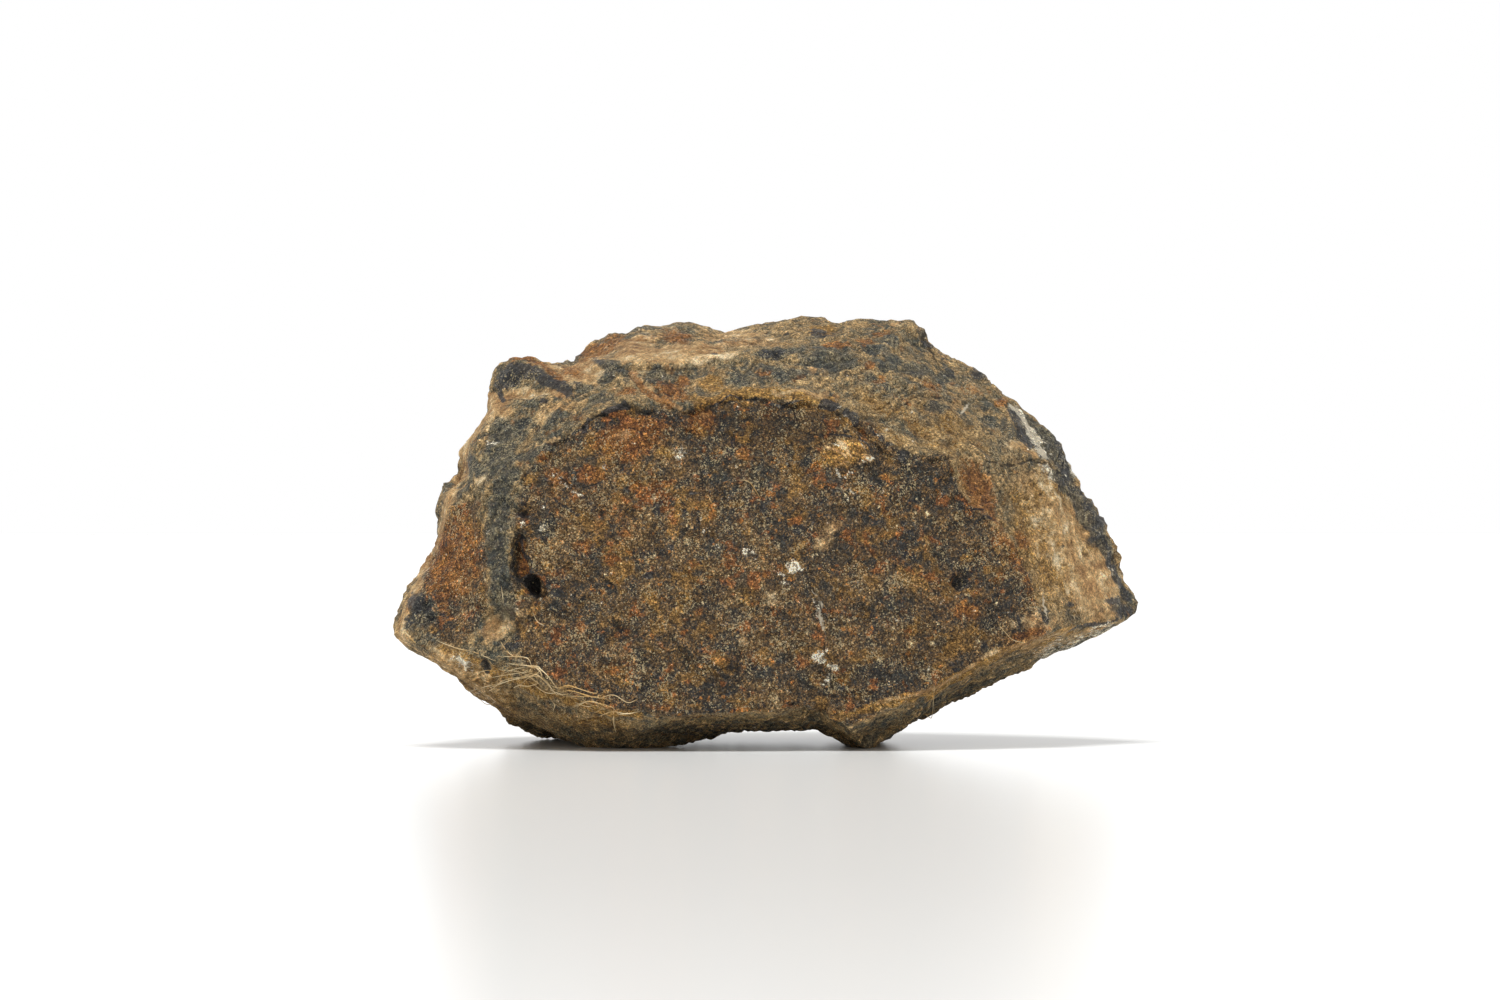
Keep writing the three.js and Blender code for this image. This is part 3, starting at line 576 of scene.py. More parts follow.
def broken_faces(corners):
    """The flat faces between corners: each three whose directions from the core have all others on one
    side.

    The inverse of each three corners turns a ray into its shares of them, and the shares' sum is 1 on
    the face."""
    relative = corners - CORE
    directions = unit(relative)
    count = len(corners)
    a, b, c = np.array(list(itertools.combinations(range(count), 3))).T
    normal = np.cross(directions[b] - directions[a], directions[c] - directions[a])
    side = normal @ directions.T - np.einsum("fi,fi->f", normal, directions[a])[:, None]
    rows = np.arange(len(a))
    side[rows, a] = side[rows, b] = side[rows, c] = 0
    outer = (side <= 1e-12).all(1) | (side >= -1e-12).all(1)
    return np.linalg.inv(np.stack([relative[a[outer]], relative[b[outer]], relative[c[outer]]], axis=2))


FACES = broken_faces(np.array([corner for group in CORNERS.values() for corner in group]))


def face_distance(rays):
    """Distance from the core to the broken surface: 1 over the sum of a ray's shares of the face that it
    crosses."""
    distance = np.empty(len(rays))
    for start in range(0, len(rays), 4096):
        shares = (rays[start : start + 4096] @ FACES.reshape(-1, 3).T).reshape(-1, len(FACES), 3)
        crossed = shares.min(2).argmax(1)
        distance[start : start + 4096] = 1 / shares[np.arange(len(crossed)), crossed].sum(1)
    return distance


def worn_distance(rays, rounding):
    """The same distance averaged over a small cone of rays, which wears edges and corners round."""
    across = unit(np.cross(np.stack([-rays[:, 1], rays[:, 0], np.full(len(rays), 0.3)], 1), rays))
    along = np.cross(rays, across)
    total = 2 * face_distance(rays)
    for turn in np.arange(6) * math.pi / 3:
        tilt = math.cos(turn) * across + math.sin(turn) * along
        total += face_distance(unit(rays + rounding * tilt))
    return total / 8


def lumps(p):
    """Shallow lumps, from -1 to 1: three crossing sine waves, each bent by a slower one."""
    x, y, z = p.T * 2 * math.pi / LUMP_LENGTH
    a = np.sin(0.83 * x + 0.41 * y + 0.37 * z + 1.3 * np.sin(0.52 * y - 0.61 * z))
    b = np.sin(-0.35 * x + 0.88 * y + 0.31 * z + 1.3 * np.sin(0.57 * x + 0.44 * z))
    c = np.sin(0.29 * x - 0.46 * y + 0.84 * z + 1.3 * np.sin(0.49 * x - 0.55 * y))
    return (a + b + c) / 3


def plain_surface(rays, rounding):
    """The stone's plain surface along rays from the core: worn faces, lumps, and bell-shaped features."""
    p = CORE + rays * worn_distance(rays, rounding)[:, None]
    lift = LUMP_HEIGHT * lumps(p)
    for centre, radii, height in FEATURES:
        reach = (((p - centre) / radii) ** 2).sum(1)
        lift += height * np.exp(-reach * reach)
    p += rays * lift[:, None]
    p[:, 2] = np.maximum(p[:, 2], REST_LEVEL)
    return p


def vertex_normals(p, quads):
    """The outward normal at each point: the sum of its quads' crossed diagonals."""
    a, b, c, d = (p[quads[:, k]] for k in range(4))
    crossed = np.cross(c - a, d - b)
    normals = np.zeros_like(p)
    for k in range(4):
        for axis in range(3):
            normals[:, axis] += np.bincount(quads[:, k], crossed[:, axis], len(p))
    return unit(normals)


SHUFFLE = np.random.default_rng(11).permutation(256)
SLOPES = unit(np.random.default_rng(12).normal(size=(256, 3)))


def noise(p, period, seed=0):
    """Smooth noise from about -1 to 1: random slopes at a cubic lattice's corners, blended by
    6t⁵ - 15t⁴ + 10t³."""
    q = p / period + 31.7 * seed
    cell = np.floor(q).astype(int)
    f = q - cell
    blend = f * f * f * (f * (f * 6 - 15) + 10)
    total = np.zeros(len(p))
    for corner in np.ndindex(2, 2, 2):
        x, y, z = ((cell + corner) & 255).T
        slope = SLOPES[SHUFFLE[(SHUFFLE[(SHUFFLE[x] + y) & 255] + z) & 255]]
        share = np.where(corner, blend, 1 - blend).prod(1)
        total += share * (slope * (f - corner)).sum(1)
    return 1.6 * total


def seen(p):
    """Where the eye sees each point: millimetres across and up on the upright plane through the core."""
    return EYE[[0, 2]] + (p[:, [0, 2]] - EYE[[0, 2]]) * (EYE[1] / (EYE[1] - p[:, 1]))[:, None]


def placed(path):
    """Points of the photo, column and row, as millimetres across and up, to the nearest tenth."""
    columns, rows = zip(*path)
    across = [round((column - MIDDLE_COLUMN) * PIXEL, 1) for column in columns]
    up = [round((TABLE_ROW - row) * PIXEL, 1) for row in rows]
    return list(zip(across, up))


def span(pixels):
    """A length on the photo in millimetres."""
    return round(pixels * PIXEL, 2)


def placed_marks(marks):
    """Each mark as its ellipse in millimetres, for spot, and its strength."""
    for column, row, half_width, half_height, turn, strength in marks:
        yield (*placed([(column, row)])[0], span(half_width), span(half_height), turn), strength


def spot(view, x, z, half_width, half_height, turn):
    """A bell, exp(-r³), over an ellipse in the eye's view."""
    c, s = math.cos(math.radians(turn)), math.sin(math.radians(turn))
    dx, dz = view[:, 0] - x, view[:, 1] - z
    reach = ((c * dx + s * dz) / half_width) ** 2 + ((c * dz - s * dx) / half_height) ** 2
    return np.exp(-(reach**1.5))


def line_field(view, path):
    """Signed distance to a line in the eye's view, positive on its left, from its nearest segment."""
    best, side = np.full(len(view), np.inf), np.ones(len(view))
    for (x0, z0), (x1, z1) in zip(path, path[1:]):
        dx, dz = x1 - x0, z1 - z0
        along = ((view[:, 0] - x0) * dx + (view[:, 1] - z0) * dz) / (dx * dx + dz * dz)
        t = np.clip(along, 0, 1)
        distance = np.hypot(view[:, 0] - x0 - t * dx, view[:, 1] - z0 - t * dz)
        left = np.sign(dx * (view[:, 1] - z0) - dz * (view[:, 0] - x0))
        nearer = distance < best
        best, side = np.where(nearer, distance, best), np.where(nearer, left, side)
    return best * side


def inside(view, outline):
    """Signed distance to a closed outline, positive inside: a point is inside where a line from it
    crosses an odd number of sides."""
    closed = outline + outline[:1]
    crossings = np.zeros(len(view), int)
    for (x0, z0), (x1, z1) in zip(closed, closed[1:]):
        between_ends = (z0 > view[:, 1]) != (z1 > view[:, 1])
        crossings += between_ends & (view[:, 0] < x0 + (view[:, 1] - z0) * (x1 - x0) / (z1 - z0 + 1e-9))
    return np.where(crossings % 2, 1, -1) * np.abs(line_field(view, closed))


def terraces(p, period, levels, seed):
    """Broken ledges from -0.5 to 0.5: a slow noise's rounded steps less the noise, so that the surface
    climbs in short risers."""
    height = levels * noise(p, period, seed)
    step = np.floor(height)
    return step + smooth(0.35, 0.65, height - step) - height


# Bumps of the whole surface: height and spacing in millimetres, and seed.
BUMPS = [(0.1, 2.6, 5), (0.08, 1.3, 6), (0.05, 0.75, 7)]


def detailed_surface(p, normals, view, front, fresh, clay):
    """The plain surface moved along its normals by grit, broken ledges and each mark that the eye sees in
    front.

    Clay fills half of the grit and ledges where it covers the stone."""
    skin = 1 - fresh
    # Ledges, then bumps, then shallow pits in the skin, then sharp creases.
    bend = np.stack([noise(p, period=5, seed=seed) for seed in (1, 2, 3)], 1)
    large_steps = terraces(p + 0.8 * bend, period=6.5, levels=4, seed=4)
    small_steps = terraces(p + 0.4 * bend, period=2.6, levels=3, seed=15)
    lift = 0.32 * skin * large_steps + 0.17 * small_steps
    lift += sum(height * noise(p, period, seed) for height, period, seed in BUMPS)
    lift -= 0.2 * skin * smooth(0.25, 0.6, noise(p, period=3.2, seed=8))
    large_creases = np.abs(noise(p + 0.4 * bend, period=3.8, seed=13))
    small_creases = np.abs(noise(p + 0.3 * bend, period=1.8, seed=14))
    lift += (0.35 + 0.65 * fresh) * (0.2 - (0.5 * large_creases + 0.3 * small_creases))
    lift *= 1 - 0.5 * clay
    wobble = view + 0.3 * np.stack([noise(p, period=1.4, seed=seed) for seed in (9, 10)], 1)
    for ellipse, height in placed_marks(DENTS_AND_LUMPS):
        lift += front * height * spot(wobble, *ellipse)
    uneven = 1 + 0.8 * noise(p, period=1.7, seed=18)
    for path, depth, fade in LEDGES:
        below = -line_field(wobble, placed(path))
        fading = np.exp(-np.maximum(below, 0) / span(fade) * 2)
        lift -= front * depth * uneven * smooth(-0.1, 0.2, below) * fading
    moved = p + normals * lift[:, None]
    moved[:, 2] = np.maximum(moved[:, 2], REST_LEVEL)
    return moved


def hollowness(p, normals, quads):
    """How far each point lies below the mean of its neighbours, in tenths of a millimetre."""
    total, count = np.zeros_like(p), np.zeros(len(p))
    for k in range(4):
        here, there = quads[:, k], quads[:, (k + 1) % 4]
        for a, b in ((here, there), (there, here)):
            count += np.bincount(a, minlength=len(p))
            for axis in range(3):
                total[:, axis] += np.bincount(a, p[b, axis], len(p))
    return 10 * ((total / count[:, None] - p) * normals).sum(1)


def nearest_line(view, lines):
    """Signed distance to the nearest of several lines in widths of that line, and a number that is 1
    beside it and 0 beyond 1.4 mm."""
    value, near = np.full(len(view), 9.0), np.zeros(len(view))
    for path, width in lines:
        field = line_field(view, placed(path))
        closer = np.abs(field / width) < np.abs(value)
        value = np.where(closer, field / width, value)
        near = np.maximum(near, smooth(1.4, 0.5, np.abs(field)))
    return value, near


def stone_mesh(points, quads, attributes):
    """A smooth mesh of quads with one vector attribute for each name."""
    mesh = bpy.data.meshes.new("weathered_surface")
    mesh.vertices.add(len(points))
    mesh.vertices.foreach_set("co", points.astype(np.float32).ravel())
    mesh.loops.add(quads.size)
    mesh.loops.foreach_set("vertex_index", quads.astype(np.int32).ravel())
    mesh.polygons.add(len(quads))
    mesh.polygons.foreach_set("loop_start", np.arange(0, quads.size, 4, dtype=np.int32))
    mesh.update()
    mesh.validate()
    mesh.shade_smooth()
    for name, values in attributes.items():
        layer = mesh.attributes.new(name, "FLOAT_VECTOR", "POINT")
        layer.data.foreach_set("vector", np.stack(values, 1).astype(np.float32).ravel())
    return mesh


def added(name, data):
    """A new object in the scene."""
    made = bpy.data.objects.new(name, data)
    bpy.context.scene.collection.objects.link(made)
    return made


# The stone, in millimetres.
rays, quads = box_lattice(FINE_STEPS)
plain = plain_surface(rays, FINE_ROUNDING)
solid_steps = np.round(np.array([STONE_WIDTH, STONE_DEPTH, STONE_HEIGHT]) / SOLID_STEP).astype(int)
solid = plain_surface(box_lattice(solid_steps)[0], EDGE_ROUNDING)
normals = vertex_normals(plain, quads)
view = seen(plain)
toward_eye = (normals * unit(EYE - plain)).sum(1)
front = smooth(-0.3, 0.0, toward_eye)
wavering = view + 0.3 * np.stack([noise(plain, period=1.6, seed=seed) for seed in (16, 17)], 1)
broken = np.max([inside(wavering, placed(outline)) for outline in BREAKS], axis=0)
fresh = front * smooth(-0.15, 0.15, broken)
patches = noise(plain, period=15, seed=40) + 0.3 * noise(plain, period=3, seed=41)
fresh += (1 - front) * 0.7 * smooth(0.0, 0.5, patches)


def stain(name, seed):
    """How far one kind of weathering covers each point: the marks seen in front, and drifting noise
    elsewhere."""
    ragged = view + 0.4 * np.stack([noise(plain, period=2.0, seed=seed + k) for k in (0, 1)], 1)
    cover = np.zeros(len(plain))
    for ellipse, strength in placed_marks(STAINS[name]):
        cover = np.maximum(cover, strength * spot(ragged, *ellipse))
    for path, half_width, strength in STREAKS[name]:
        reach = np.abs(line_field(ragged, placed(path))) / span(half_width)
        cover = np.maximum(cover, strength * np.exp(-(reach**3)))
    drift = noise(plain, period=10, seed=seed + 2) + 0.7 * noise(plain, period=4.2, seed=seed + 3)
    drift += 0.5 * noise(plain, period=1.9, seed=seed + 4)
    return front * cover + (1 - front) * ELSEWHERE[name] * smooth(-0.1, 0.9, drift)


# How strongly each kind covers the sides that the eye doesn't see.
ELSEWHERE = {"clay": 0.78, "rust": 0.6, "slate": 0.85, "crust": 0.45, "lime": 0.3, "ochre": 0.6}

tints = {name: stain(name, 20 + 5 * i) for i, name in enumerate(STAINS)}
surface = detailed_surface(plain, normals, view, front, fresh, tints["clay"])
# Painted shade and light: points below their neighbours are darkened in the colour and points above them
# lightened; the listed places of shade and tone are added to the same field.
hollow = np.clip(hollowness(surface, normals, quads), -1, 1)
for ellipse, strength in placed_marks(SHADE_AND_TONE_MARKS):
    hollow += front * strength * spot(wavering, *ellipse)

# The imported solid's box fixes the size of a millimetre and the origin.
MM = (cad_high[0] - cad_low[0]) / np.ptp(solid[:, 0])
ORIGIN = cad_low - solid.min(0) * MM


def place(p):
    """Millimetres in the drawing to metres in the frame."""
    return np.asarray(p) * MM + ORIGIN


# What each point of the surface keeps for its material, three numbers to an attribute; the third of veins is
# the painted shade and tone.
KEPT = {
    "stains": ("slate", "rust", "ochre"),
    "coats": ("clay", "crust", "lime"),
    "cracks": ("crack", "crack_near", "fresh"),
    "veins": ("vein", "vein_near", "hollow"),
}
kept = dict(tints, fresh=fresh, hollow=hollow)
for name, lines in (("crack", CRACKS), ("vein", VEINS)):
    kept[name], near = nearest_line(view, lines)
    kept[name + "_near"] = near * front
attributes = {name: [kept[part] for part in parts] for name, parts in KEPT.items()}
stone = added("weathered_surface", stone_mesh(place(surface), quads, attributes))
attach(stone, "root")
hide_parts("meteorite")


# Materials.


def linear(code):
    """An sRGB hex colour as linear RGBA."""
    channels = [int(code[i : i + 2], 16) / 255 for i in (1, 3, 5)]
    return tuple(c / 12.92 if c <= 0.04045 else ((c + 0.055) / 1.055) ** 2.4 for c in channels) + (1.0,)


def add(tree, kind, inputs, **settings):
    """Adds a node with its settings, and gives each input, by name or number, a value or a link."""
    made = tree.nodes.new("ShaderNode" + kind)
    for name, value in settings.items():
        setattr(made, name, value)
    for key, value in inputs.items():
        if isinstance(value, bpy.types.NodeSocket):
            tree.links.new(value, made.inputs[key])
        else:
            made.inputs[key].default_value = value
    return made


def cells_per_metre(millimetres):
    """A pattern's scale from the size of its cells on the real stone."""
    return 1 / (millimetres * MM)


def weighted(start, *terms):
    """A field, which is a number that varies over the surface: start plus each field times its weight."""
    total = start
    for field, weight in terms:
        inputs = {0: field, 1: weight, 2: total}
        total = add(field.id_data, "Math", inputs, operation="MULTIPLY_ADD").outputs[0]
    return total


def rise(field, low, high, least=0.0, most=1.0):
    """least where a field is below low, most where it is above high, and a smooth step between."""
    inputs = {"Value": field, "From Min": low, "From Max": high, "To Min": least, "To Max": most}
    return add(field.id_data, "MapRange", inputs, interpolation_type="SMOOTHSTEP").outputs[0]


def laid(under, over, amount):
    """One colour laid over another, as thick as amount."""
    return add(amount.id_data, "Mix", {0: amount, 6: under, 7: over}, data_type="RGBA").outputs[2]


def tinted(field, stops):
    """A colour for each value of a field: (value, sRGB hex) stops, joined by straight blends."""
    ramp = add(field.id_data, "ValToRGB", {0: field})
    elements = ramp.color_ramp.elements
    for _ in stops[2:]:
        elements.new(1.0)
    for element, (value, code) in zip(elements, stops):
        element.position = value
        element.color = linear(code)
    return ramp.outputs[0]


def clouds(here, millimetres, detail=3.0, roughness=0.6, seed=0.0):
    """Noise from -0.5 to 0.5 whose widest clouds have this size."""
    at = add(here.id_data, "VectorMath", {0: here, 1: (seed, seed, seed)}, operation="ADD").outputs[0]
    inputs = {"Vector": at, "Scale": cells_per_metre(millimetres), "Detail": detail, "Roughness": roughness}
    return weighted(-0.5, (add(here.id_data, "TexNoise", inputs).outputs[0], 1.0))


def grains(here, millimetres):
    """Grains of one size: how far off each one's middle is, and three random numbers for each one, from
    -0.5 to 0.5."""
    cells = add(here.id_data, "TexVoronoi", {"Vector": here, "Scale": cells_per_metre(millimetres)})
    channels = add(here.id_data, "SeparateColor", {0: cells.outputs["Color"]}).outputs
    return cells.outputs["Distance"], [weighted(-0.5, (channel, 1.0)) for channel in channels]


# Colours of the bare stone, from the darkest grit to the palest.
BREAK_COLOURS = [
    (0.05, "#2f2f2e"), (0.3, "#4b4337"), (0.5, "#675238"),
    (0.7, "#7c5e3b"), (0.85, "#957547"), (0.98, "#b09b74"),
]
SKIN_COLOURS = [(0.08, "#42443c"), (0.32, "#6f6650"), (0.5, "#8e7957"), (0.7, "#a98b5e"), (0.92, "#ccae7c")]

# Flakes: size in millimetres, detail, seed, the noise where they begin and are full, colour, strength,
# and height in tenths of a millimetre.
BREAK_FLAKES = [
    (2.6, 5.0, 12.0, 0.03, 0.11, "#9d7437", 0.55, 0.3),
    (2.0, 5.0, 13.0, 0.05, 0.12, "#343836", 0.68, -0.3),
    (1.7, 5.0, 11.0, 0.08, 0.13, "#945a2c", 0.7, 0.6),
    (0.9, 3.0, 16.0, 0.14, 0.18, "#b37536", 0.72, 0.7),
    (0.9, 3.0, 14.0, 0.14, 0.17, "#222329", 0.8, -0.9),
    (0.6, 4.0, 15.0, 0.14, 0.18, "#d3bf94", 0.75, 0.7),
]
SKIN_FLAKES = [
    (2.2, 5.0, 21.0, 0.03, 0.1, "#454a46", 0.7, -0.5),
    (1.8, 5.0, 22.0, 0.06, 0.13, "#a8885b", 0.6, 0.3),
    (1.1, 4.0, 23.0, 0.12, 0.16, "#8c6037", 0.55, 0.5),
    (0.9, 4.0, 25.0, 0.12, 0.17, "#cdb384", 0.55, 0.5),
    (0.9, 3.0, 24.0, 0.14, 0.18, "#2b2c2c", 0.7, -0.9),
]

# Coats of weathering, the lowest first: the edge, the cover where it begins and is full, and strength.
COATS = {
    "ochre": ("large_edge", 0.3, 0.75, 0.8),
    "clay": ("edge", 0.25, 0.7, 0.92),
    "slate": ("small_edge", 0.35, 0.65, 0.85),
    "rust": ("fine_edge", 0.35, 0.7, 0.8),
    "crust": ("fine_edge", 0.35, 0.6, 0.92),
    "lime": ("flecks", 0.5, 0.75, 0.92),
}
# The blotches of each coat, and its colours along them.
BLOTCHES = {
    "ochre": ("grainy", [(0.25, "#74552c"), (0.5, "#a07638"), (0.8, "#caa056")]),
    "clay": ("smeared", [(0.15, "#765637"), (0.37, "#ab8355"), (0.58, "#cdab79"), (0.82, "#efddb8")]),
    "slate": ("grainy", [(0.25, "#292c2e"), (0.5, "#474943"), (0.7, "#726d58"), (0.88, "#a8956e")]),
    "rust": ("grainy", [(0.25, "#5a351c"), (0.5, "#8a5629"), (0.75, "#b0793d")]),
    "crust": ("grainy", [(0.25, "#131314"), (0.5, "#2a2a2c"), (0.72, "#4a4a48"), (0.9, "#8d8573")]),
    "lime": ("grainy", [(0.3, "#c3b495"), (0.55, "#efe6d0")]),
}


def stone_fields(tree):
    """The numbers that each point of the stone keeps, and the patterns its looks are made of, by name.

    The grit of the real stone goes down to a twentieth of a millimetre. That is too fine to show in the
    render, so the finest here is a tenth of a millimetre wide."""
    fields = SimpleNamespace()
    for name, parts in KEPT.items():
        read = add(tree, "Attribute", {}, attribute_name=name)
        vars(fields).update(zip(parts, add(tree, "SeparateXYZ", {0: read.outputs["Vector"]}).outputs))
    here = add(tree, "TexCoord", {}).outputs["Object"]
    fields.here = here
    fields.fine = grains(here, 0.1)[1]
    fields.coarse_edge, fields.coarse = grains(here, 0.21)
    fields.grit = clouds(here, 0.22, 4.0, 0.8)
    fields.mottle = mottle = clouds(here, 1.1, 6.0, 0.72, 1.0)
    fields.drift = clouds(here, 3.2, 4.0, 0.65, 2.0)
    fields.other_drift = other_drift = clouds(here, 2.4, 5.0, 0.7, 3.0)
    fields.broad = clouds(here, 8.0, 3.0, 0.55, 8.0)
    fields.edge = weighted(0.0, (mottle, 1.3), (fields.drift, 1.0))
    fields.large_edge = weighted(0.0, (mottle, -1.1), (other_drift, 1.2))
    fields.small_edge = weighted(0.0, (mottle, -1.1), (other_drift, 0.6))
    fields.fine_edge = weighted(0.0, (clouds(here, 0.5, 5.0, 0.75, 7.0), 1.6), (mottle, 0.8))
    fields.flecks = weighted(0.0, (clouds(here, 0.6, 5.0, 0.8, 9.0), 3.6), (mottle, 0.8))
    fields.grainy = weighted(0.5, (mottle, 1.2), (fields.coarse[2], 0.4))
    fields.smeared = weighted(0.5, (mottle, 1.1), (other_drift, 1.3))
    return fields


def flaked(fields, under, flakes):
    """Lays one kind of scattered flakes over another, each as wide as its clouds and sharp at the edge.

    Returns the colour and how far the flakes stand out."""
    raised = 0.0
    for millimetres, detail, seed, low, high, code, strength, height in flakes:
        amount = rise(clouds(fields.here, millimetres, detail, 0.6, seed), low, high)
        under = laid(under, linear(code), weighted(0.0, (amount, strength)))
        raised = weighted(raised, (amount, height))
    return under, raised


def bare_stone(fields):
    """The colour of uncoated stone and the height of its flakes.

    The fresh break is brown grit that drifts from dark grey through rust to ochre over a millimetre or
    two, and the old skin is a finer mottle of grey-green and tan."""
    fine, coarse, mottle, drift = fields.fine[2], fields.coarse[2], fields.mottle, fields.drift
    shade = weighted(0.45, (mottle, 1.3), (drift, 1.2), (fields.broad, 0.8), (fine, 0.55), (coarse, 0.3))
    broken, broken_relief = flaked(fields, tinted(shade, BREAK_COLOURS), BREAK_FLAKES)
    shade = weighted(0.52, (mottle, 2.1), (drift, 1.3), (fine, 0.35))
    skin, skin_relief = flaked(fields, tinted(shade, SKIN_COLOURS), SKIN_FLAKES)
    relief = add(fields.here.id_data, "Mix", {0: fields.fresh, 2: skin_relief, 3: broken_relief}).outputs[0]
    return laid(skin, broken, fields.fresh), relief


def coat_cover(fields, name):
    """How far one coat covers the stone: what the surface keeps of it, with a ragged edge."""
    edge, low, high, _ = COATS[name]
    return rise(weighted(getattr(fields, name), (getattr(fields, edge), 1.0)), low, high)


def coated(fields, colour):
    """The stone's colour under its coats, each with blotches of its own."""
    for name, (blotches, stops) in BLOTCHES.items():
        amount = weighted(0.0, (coat_cover(fields, name), COATS[name][-1]))
        colour = laid(colour, tinted(getattr(fields, blotches), stops), amount)
    return colour


def gritty(fields, colour, contrast):
    """The colour grain by grain: light or dark by e to the power of its tone less half the painted shade of
    hollows and rises, with clusters of pale grains, partly painted glints, and dark holes between the grains.

    Returns the colour and where the pale grains are."""
    tree = fields.here.id_data
    tone = weighted(-0.1, (fields.fine[0], 1.9), (fields.coarse[0], 0.8), (fields.grit, 4.3))
    power = weighted(0.0, (tone, contrast), (fields.hollow, -0.5))
    light = add(tree, "Math", {0: math.e, 1: power}, operation="POWER").outputs[0]
    grey = add(tree, "CombineColor", {0: light, 1: light, 2: light}).outputs[0]
    inputs = {0: 1.0, 6: colour, 7: grey}
    colour = add(tree, "Mix", inputs, data_type="RGBA", blend_type="MULTIPLY").outputs[2]
    # Pale grains: partly pale crystals, partly painted glints.
    pale = weighted(0.0, (fields.fine[1], 1.0), (fields.coarse[1], 0.3), (fields.other_drift, 1.8))
    pale = rise(pale, 0.48, 0.55)
    colour = laid(colour, linear("#e3cd9c"), weighted(0.0, (weighted(0.0, (pale, 0.72)), contrast)))
    hole = rise(fields.grit, -0.16, -0.26)
    return laid(colour, linear("#15110e"), weighted(0.0, (weighted(0.0, (hole, 0.8)), contrast))), pale


def thin_line(fields, distance, near, width):
    """A narrow line about its signed distance, with a wavering edge and gaps."""
    here = fields.here
    small, large = clouds(here, 0.5, 3.0, 0.6, 4.0), clouds(here, 2.0, 2.0, 0.5, 5.0)
    wavering = weighted(distance, (small, 3.5), (large, 2.0))
    off = add(here.id_data, "Math", {0: wavering}, operation="ABSOLUTE").outputs[0]
    gaps = rise(clouds(here, 1.2, 3.0, 0.6, 6.0), -0.12, 0.02)
    return weighted(0.0, (weighted(0.0, (rise(off, width, width * 0.3), near)), gaps))


RELIEF_UNIT = 0.0001  # a tenth of a millimetre, in metres


def weathered_stone():
    """Weathered meteoritic rock, rusted through and partly coated in desert clay.

    Broken and never polished, so it is dull all over: dark brown grit with pale grains, partly painted
    glints, under patches of rust, grey-green skin, ochre, cream clay and chalky lime, and painted shade in
    its hollows."""
    material = bpy.data.materials.new("weathered_stone")
    material.use_nodes = True
    tree = material.node_tree
    shader = tree.nodes["Principled BSDF"]
    fields = stone_fields(tree)

    # Clay fills the grit, and the skin is smoother than the break.
    filled = add(tree, "Mix", {0: coat_cover(fields, "clay"), 2: 1.0, 3: 0.6}).outputs[0]
    contrast = weighted(0.0, (filled, rise(fields.fresh, 0.0, 1.0, 0.7, 1.0)))

    bare, flakes = bare_stone(fields)
    colour, pale = gritty(fields, coated(fields, bare), contrast)
    crack = thin_line(fields, fields.crack, fields.crack_near, 1.0)
    vein = thin_line(fields, fields.vein, fields.vein_near, 1.2)
    colour = laid(colour, linear("#ddd0b6"), weighted(0.0, (vein, 0.9)))
    colour = laid(colour, linear("#120d0a"), weighted(0.0, (crack, 0.8)))
    tree.links.new(colour, shader.inputs["Base Color"])

    # Relief, in tenths of a millimetre: grit and grains stand proud, cracks and holes are sunk.
    grit = weighted(0.2, (fields.grit, 4.0), (fields.coarse_edge, -0.9), (fields.fine[0], 0.4))
    relief = weighted(0.0, (grit, contrast), (fields.mottle, 9.0), (flakes, contrast), (crack, -1.5))
    bump = add(tree, "Bump", {"Strength": 1.0, "Distance": RELIEF_UNIT, "Height": relief})
    tree.links.new(bump.outputs[0], shader.inputs["Normal"])

    # Dull, but for the faces of pale crystals and the dark crust's slight shine.
    dullness = rise(fields.mottle, -0.2, 0.2, 0.7, 0.9)
    dullness = weighted(dullness, (pale, -0.35), (coat_cover(fields, "crust"), -0.25))
    tree.links.new(dullness, shader.inputs["Roughness"])
    shader.inputs["Specular IOR Level"].default_value = 0.3
    return material


stone.data.materials.append(weathered_stone())


# Plant fibres, in millimetres.
HAIR_RADIUS = (0.025, 0.045)
HAIR_LIFT = (0.05, 0.3)  # how far a hair stands off the stone
HAIR_POINTS = 24
STRAY_BENDING, STRAY_WHOLE = 0.25, 0.5  # how far a tuft's hairs stray, point by point and all together


def on_surface(path):
    """Places in the eye's view carried back to the nearest points of the front, with their normals."""
    in_front = np.flatnonzero(toward_eye > 0.05)
    places, out = [], []
    for x, z in path:
        nearest = in_front[np.argmin(((view[in_front] - (x, z)) ** 2).sum(1))]
        places.append(surface[nearest])
        out.append(normals[nearest])
    return np.array(places), np.array(out)


def smooth_path(points, count):
    """A curve through points: Catmull-Rom cubics between each two, evenly sampled in their parameter."""
    padded = np.concatenate([2 * points[:1] - points[1:2], points, 2 * points[-1:] - points[-2:-1]])
    u = np.linspace(0, len(points) - 1 - 1e-9, count)
    i = u.astype(int)
    t = (u - i)[:, None]
    a, b, c, d = padded[i], padded[i + 1], padded[i + 2], padded[i + 3]
    return 0.5 * (2 * b + (c - a) * t + (2 * a - 5 * b + 4 * c - d) * t**2 + (3 * b - a - 3 * c + d) * t**3)


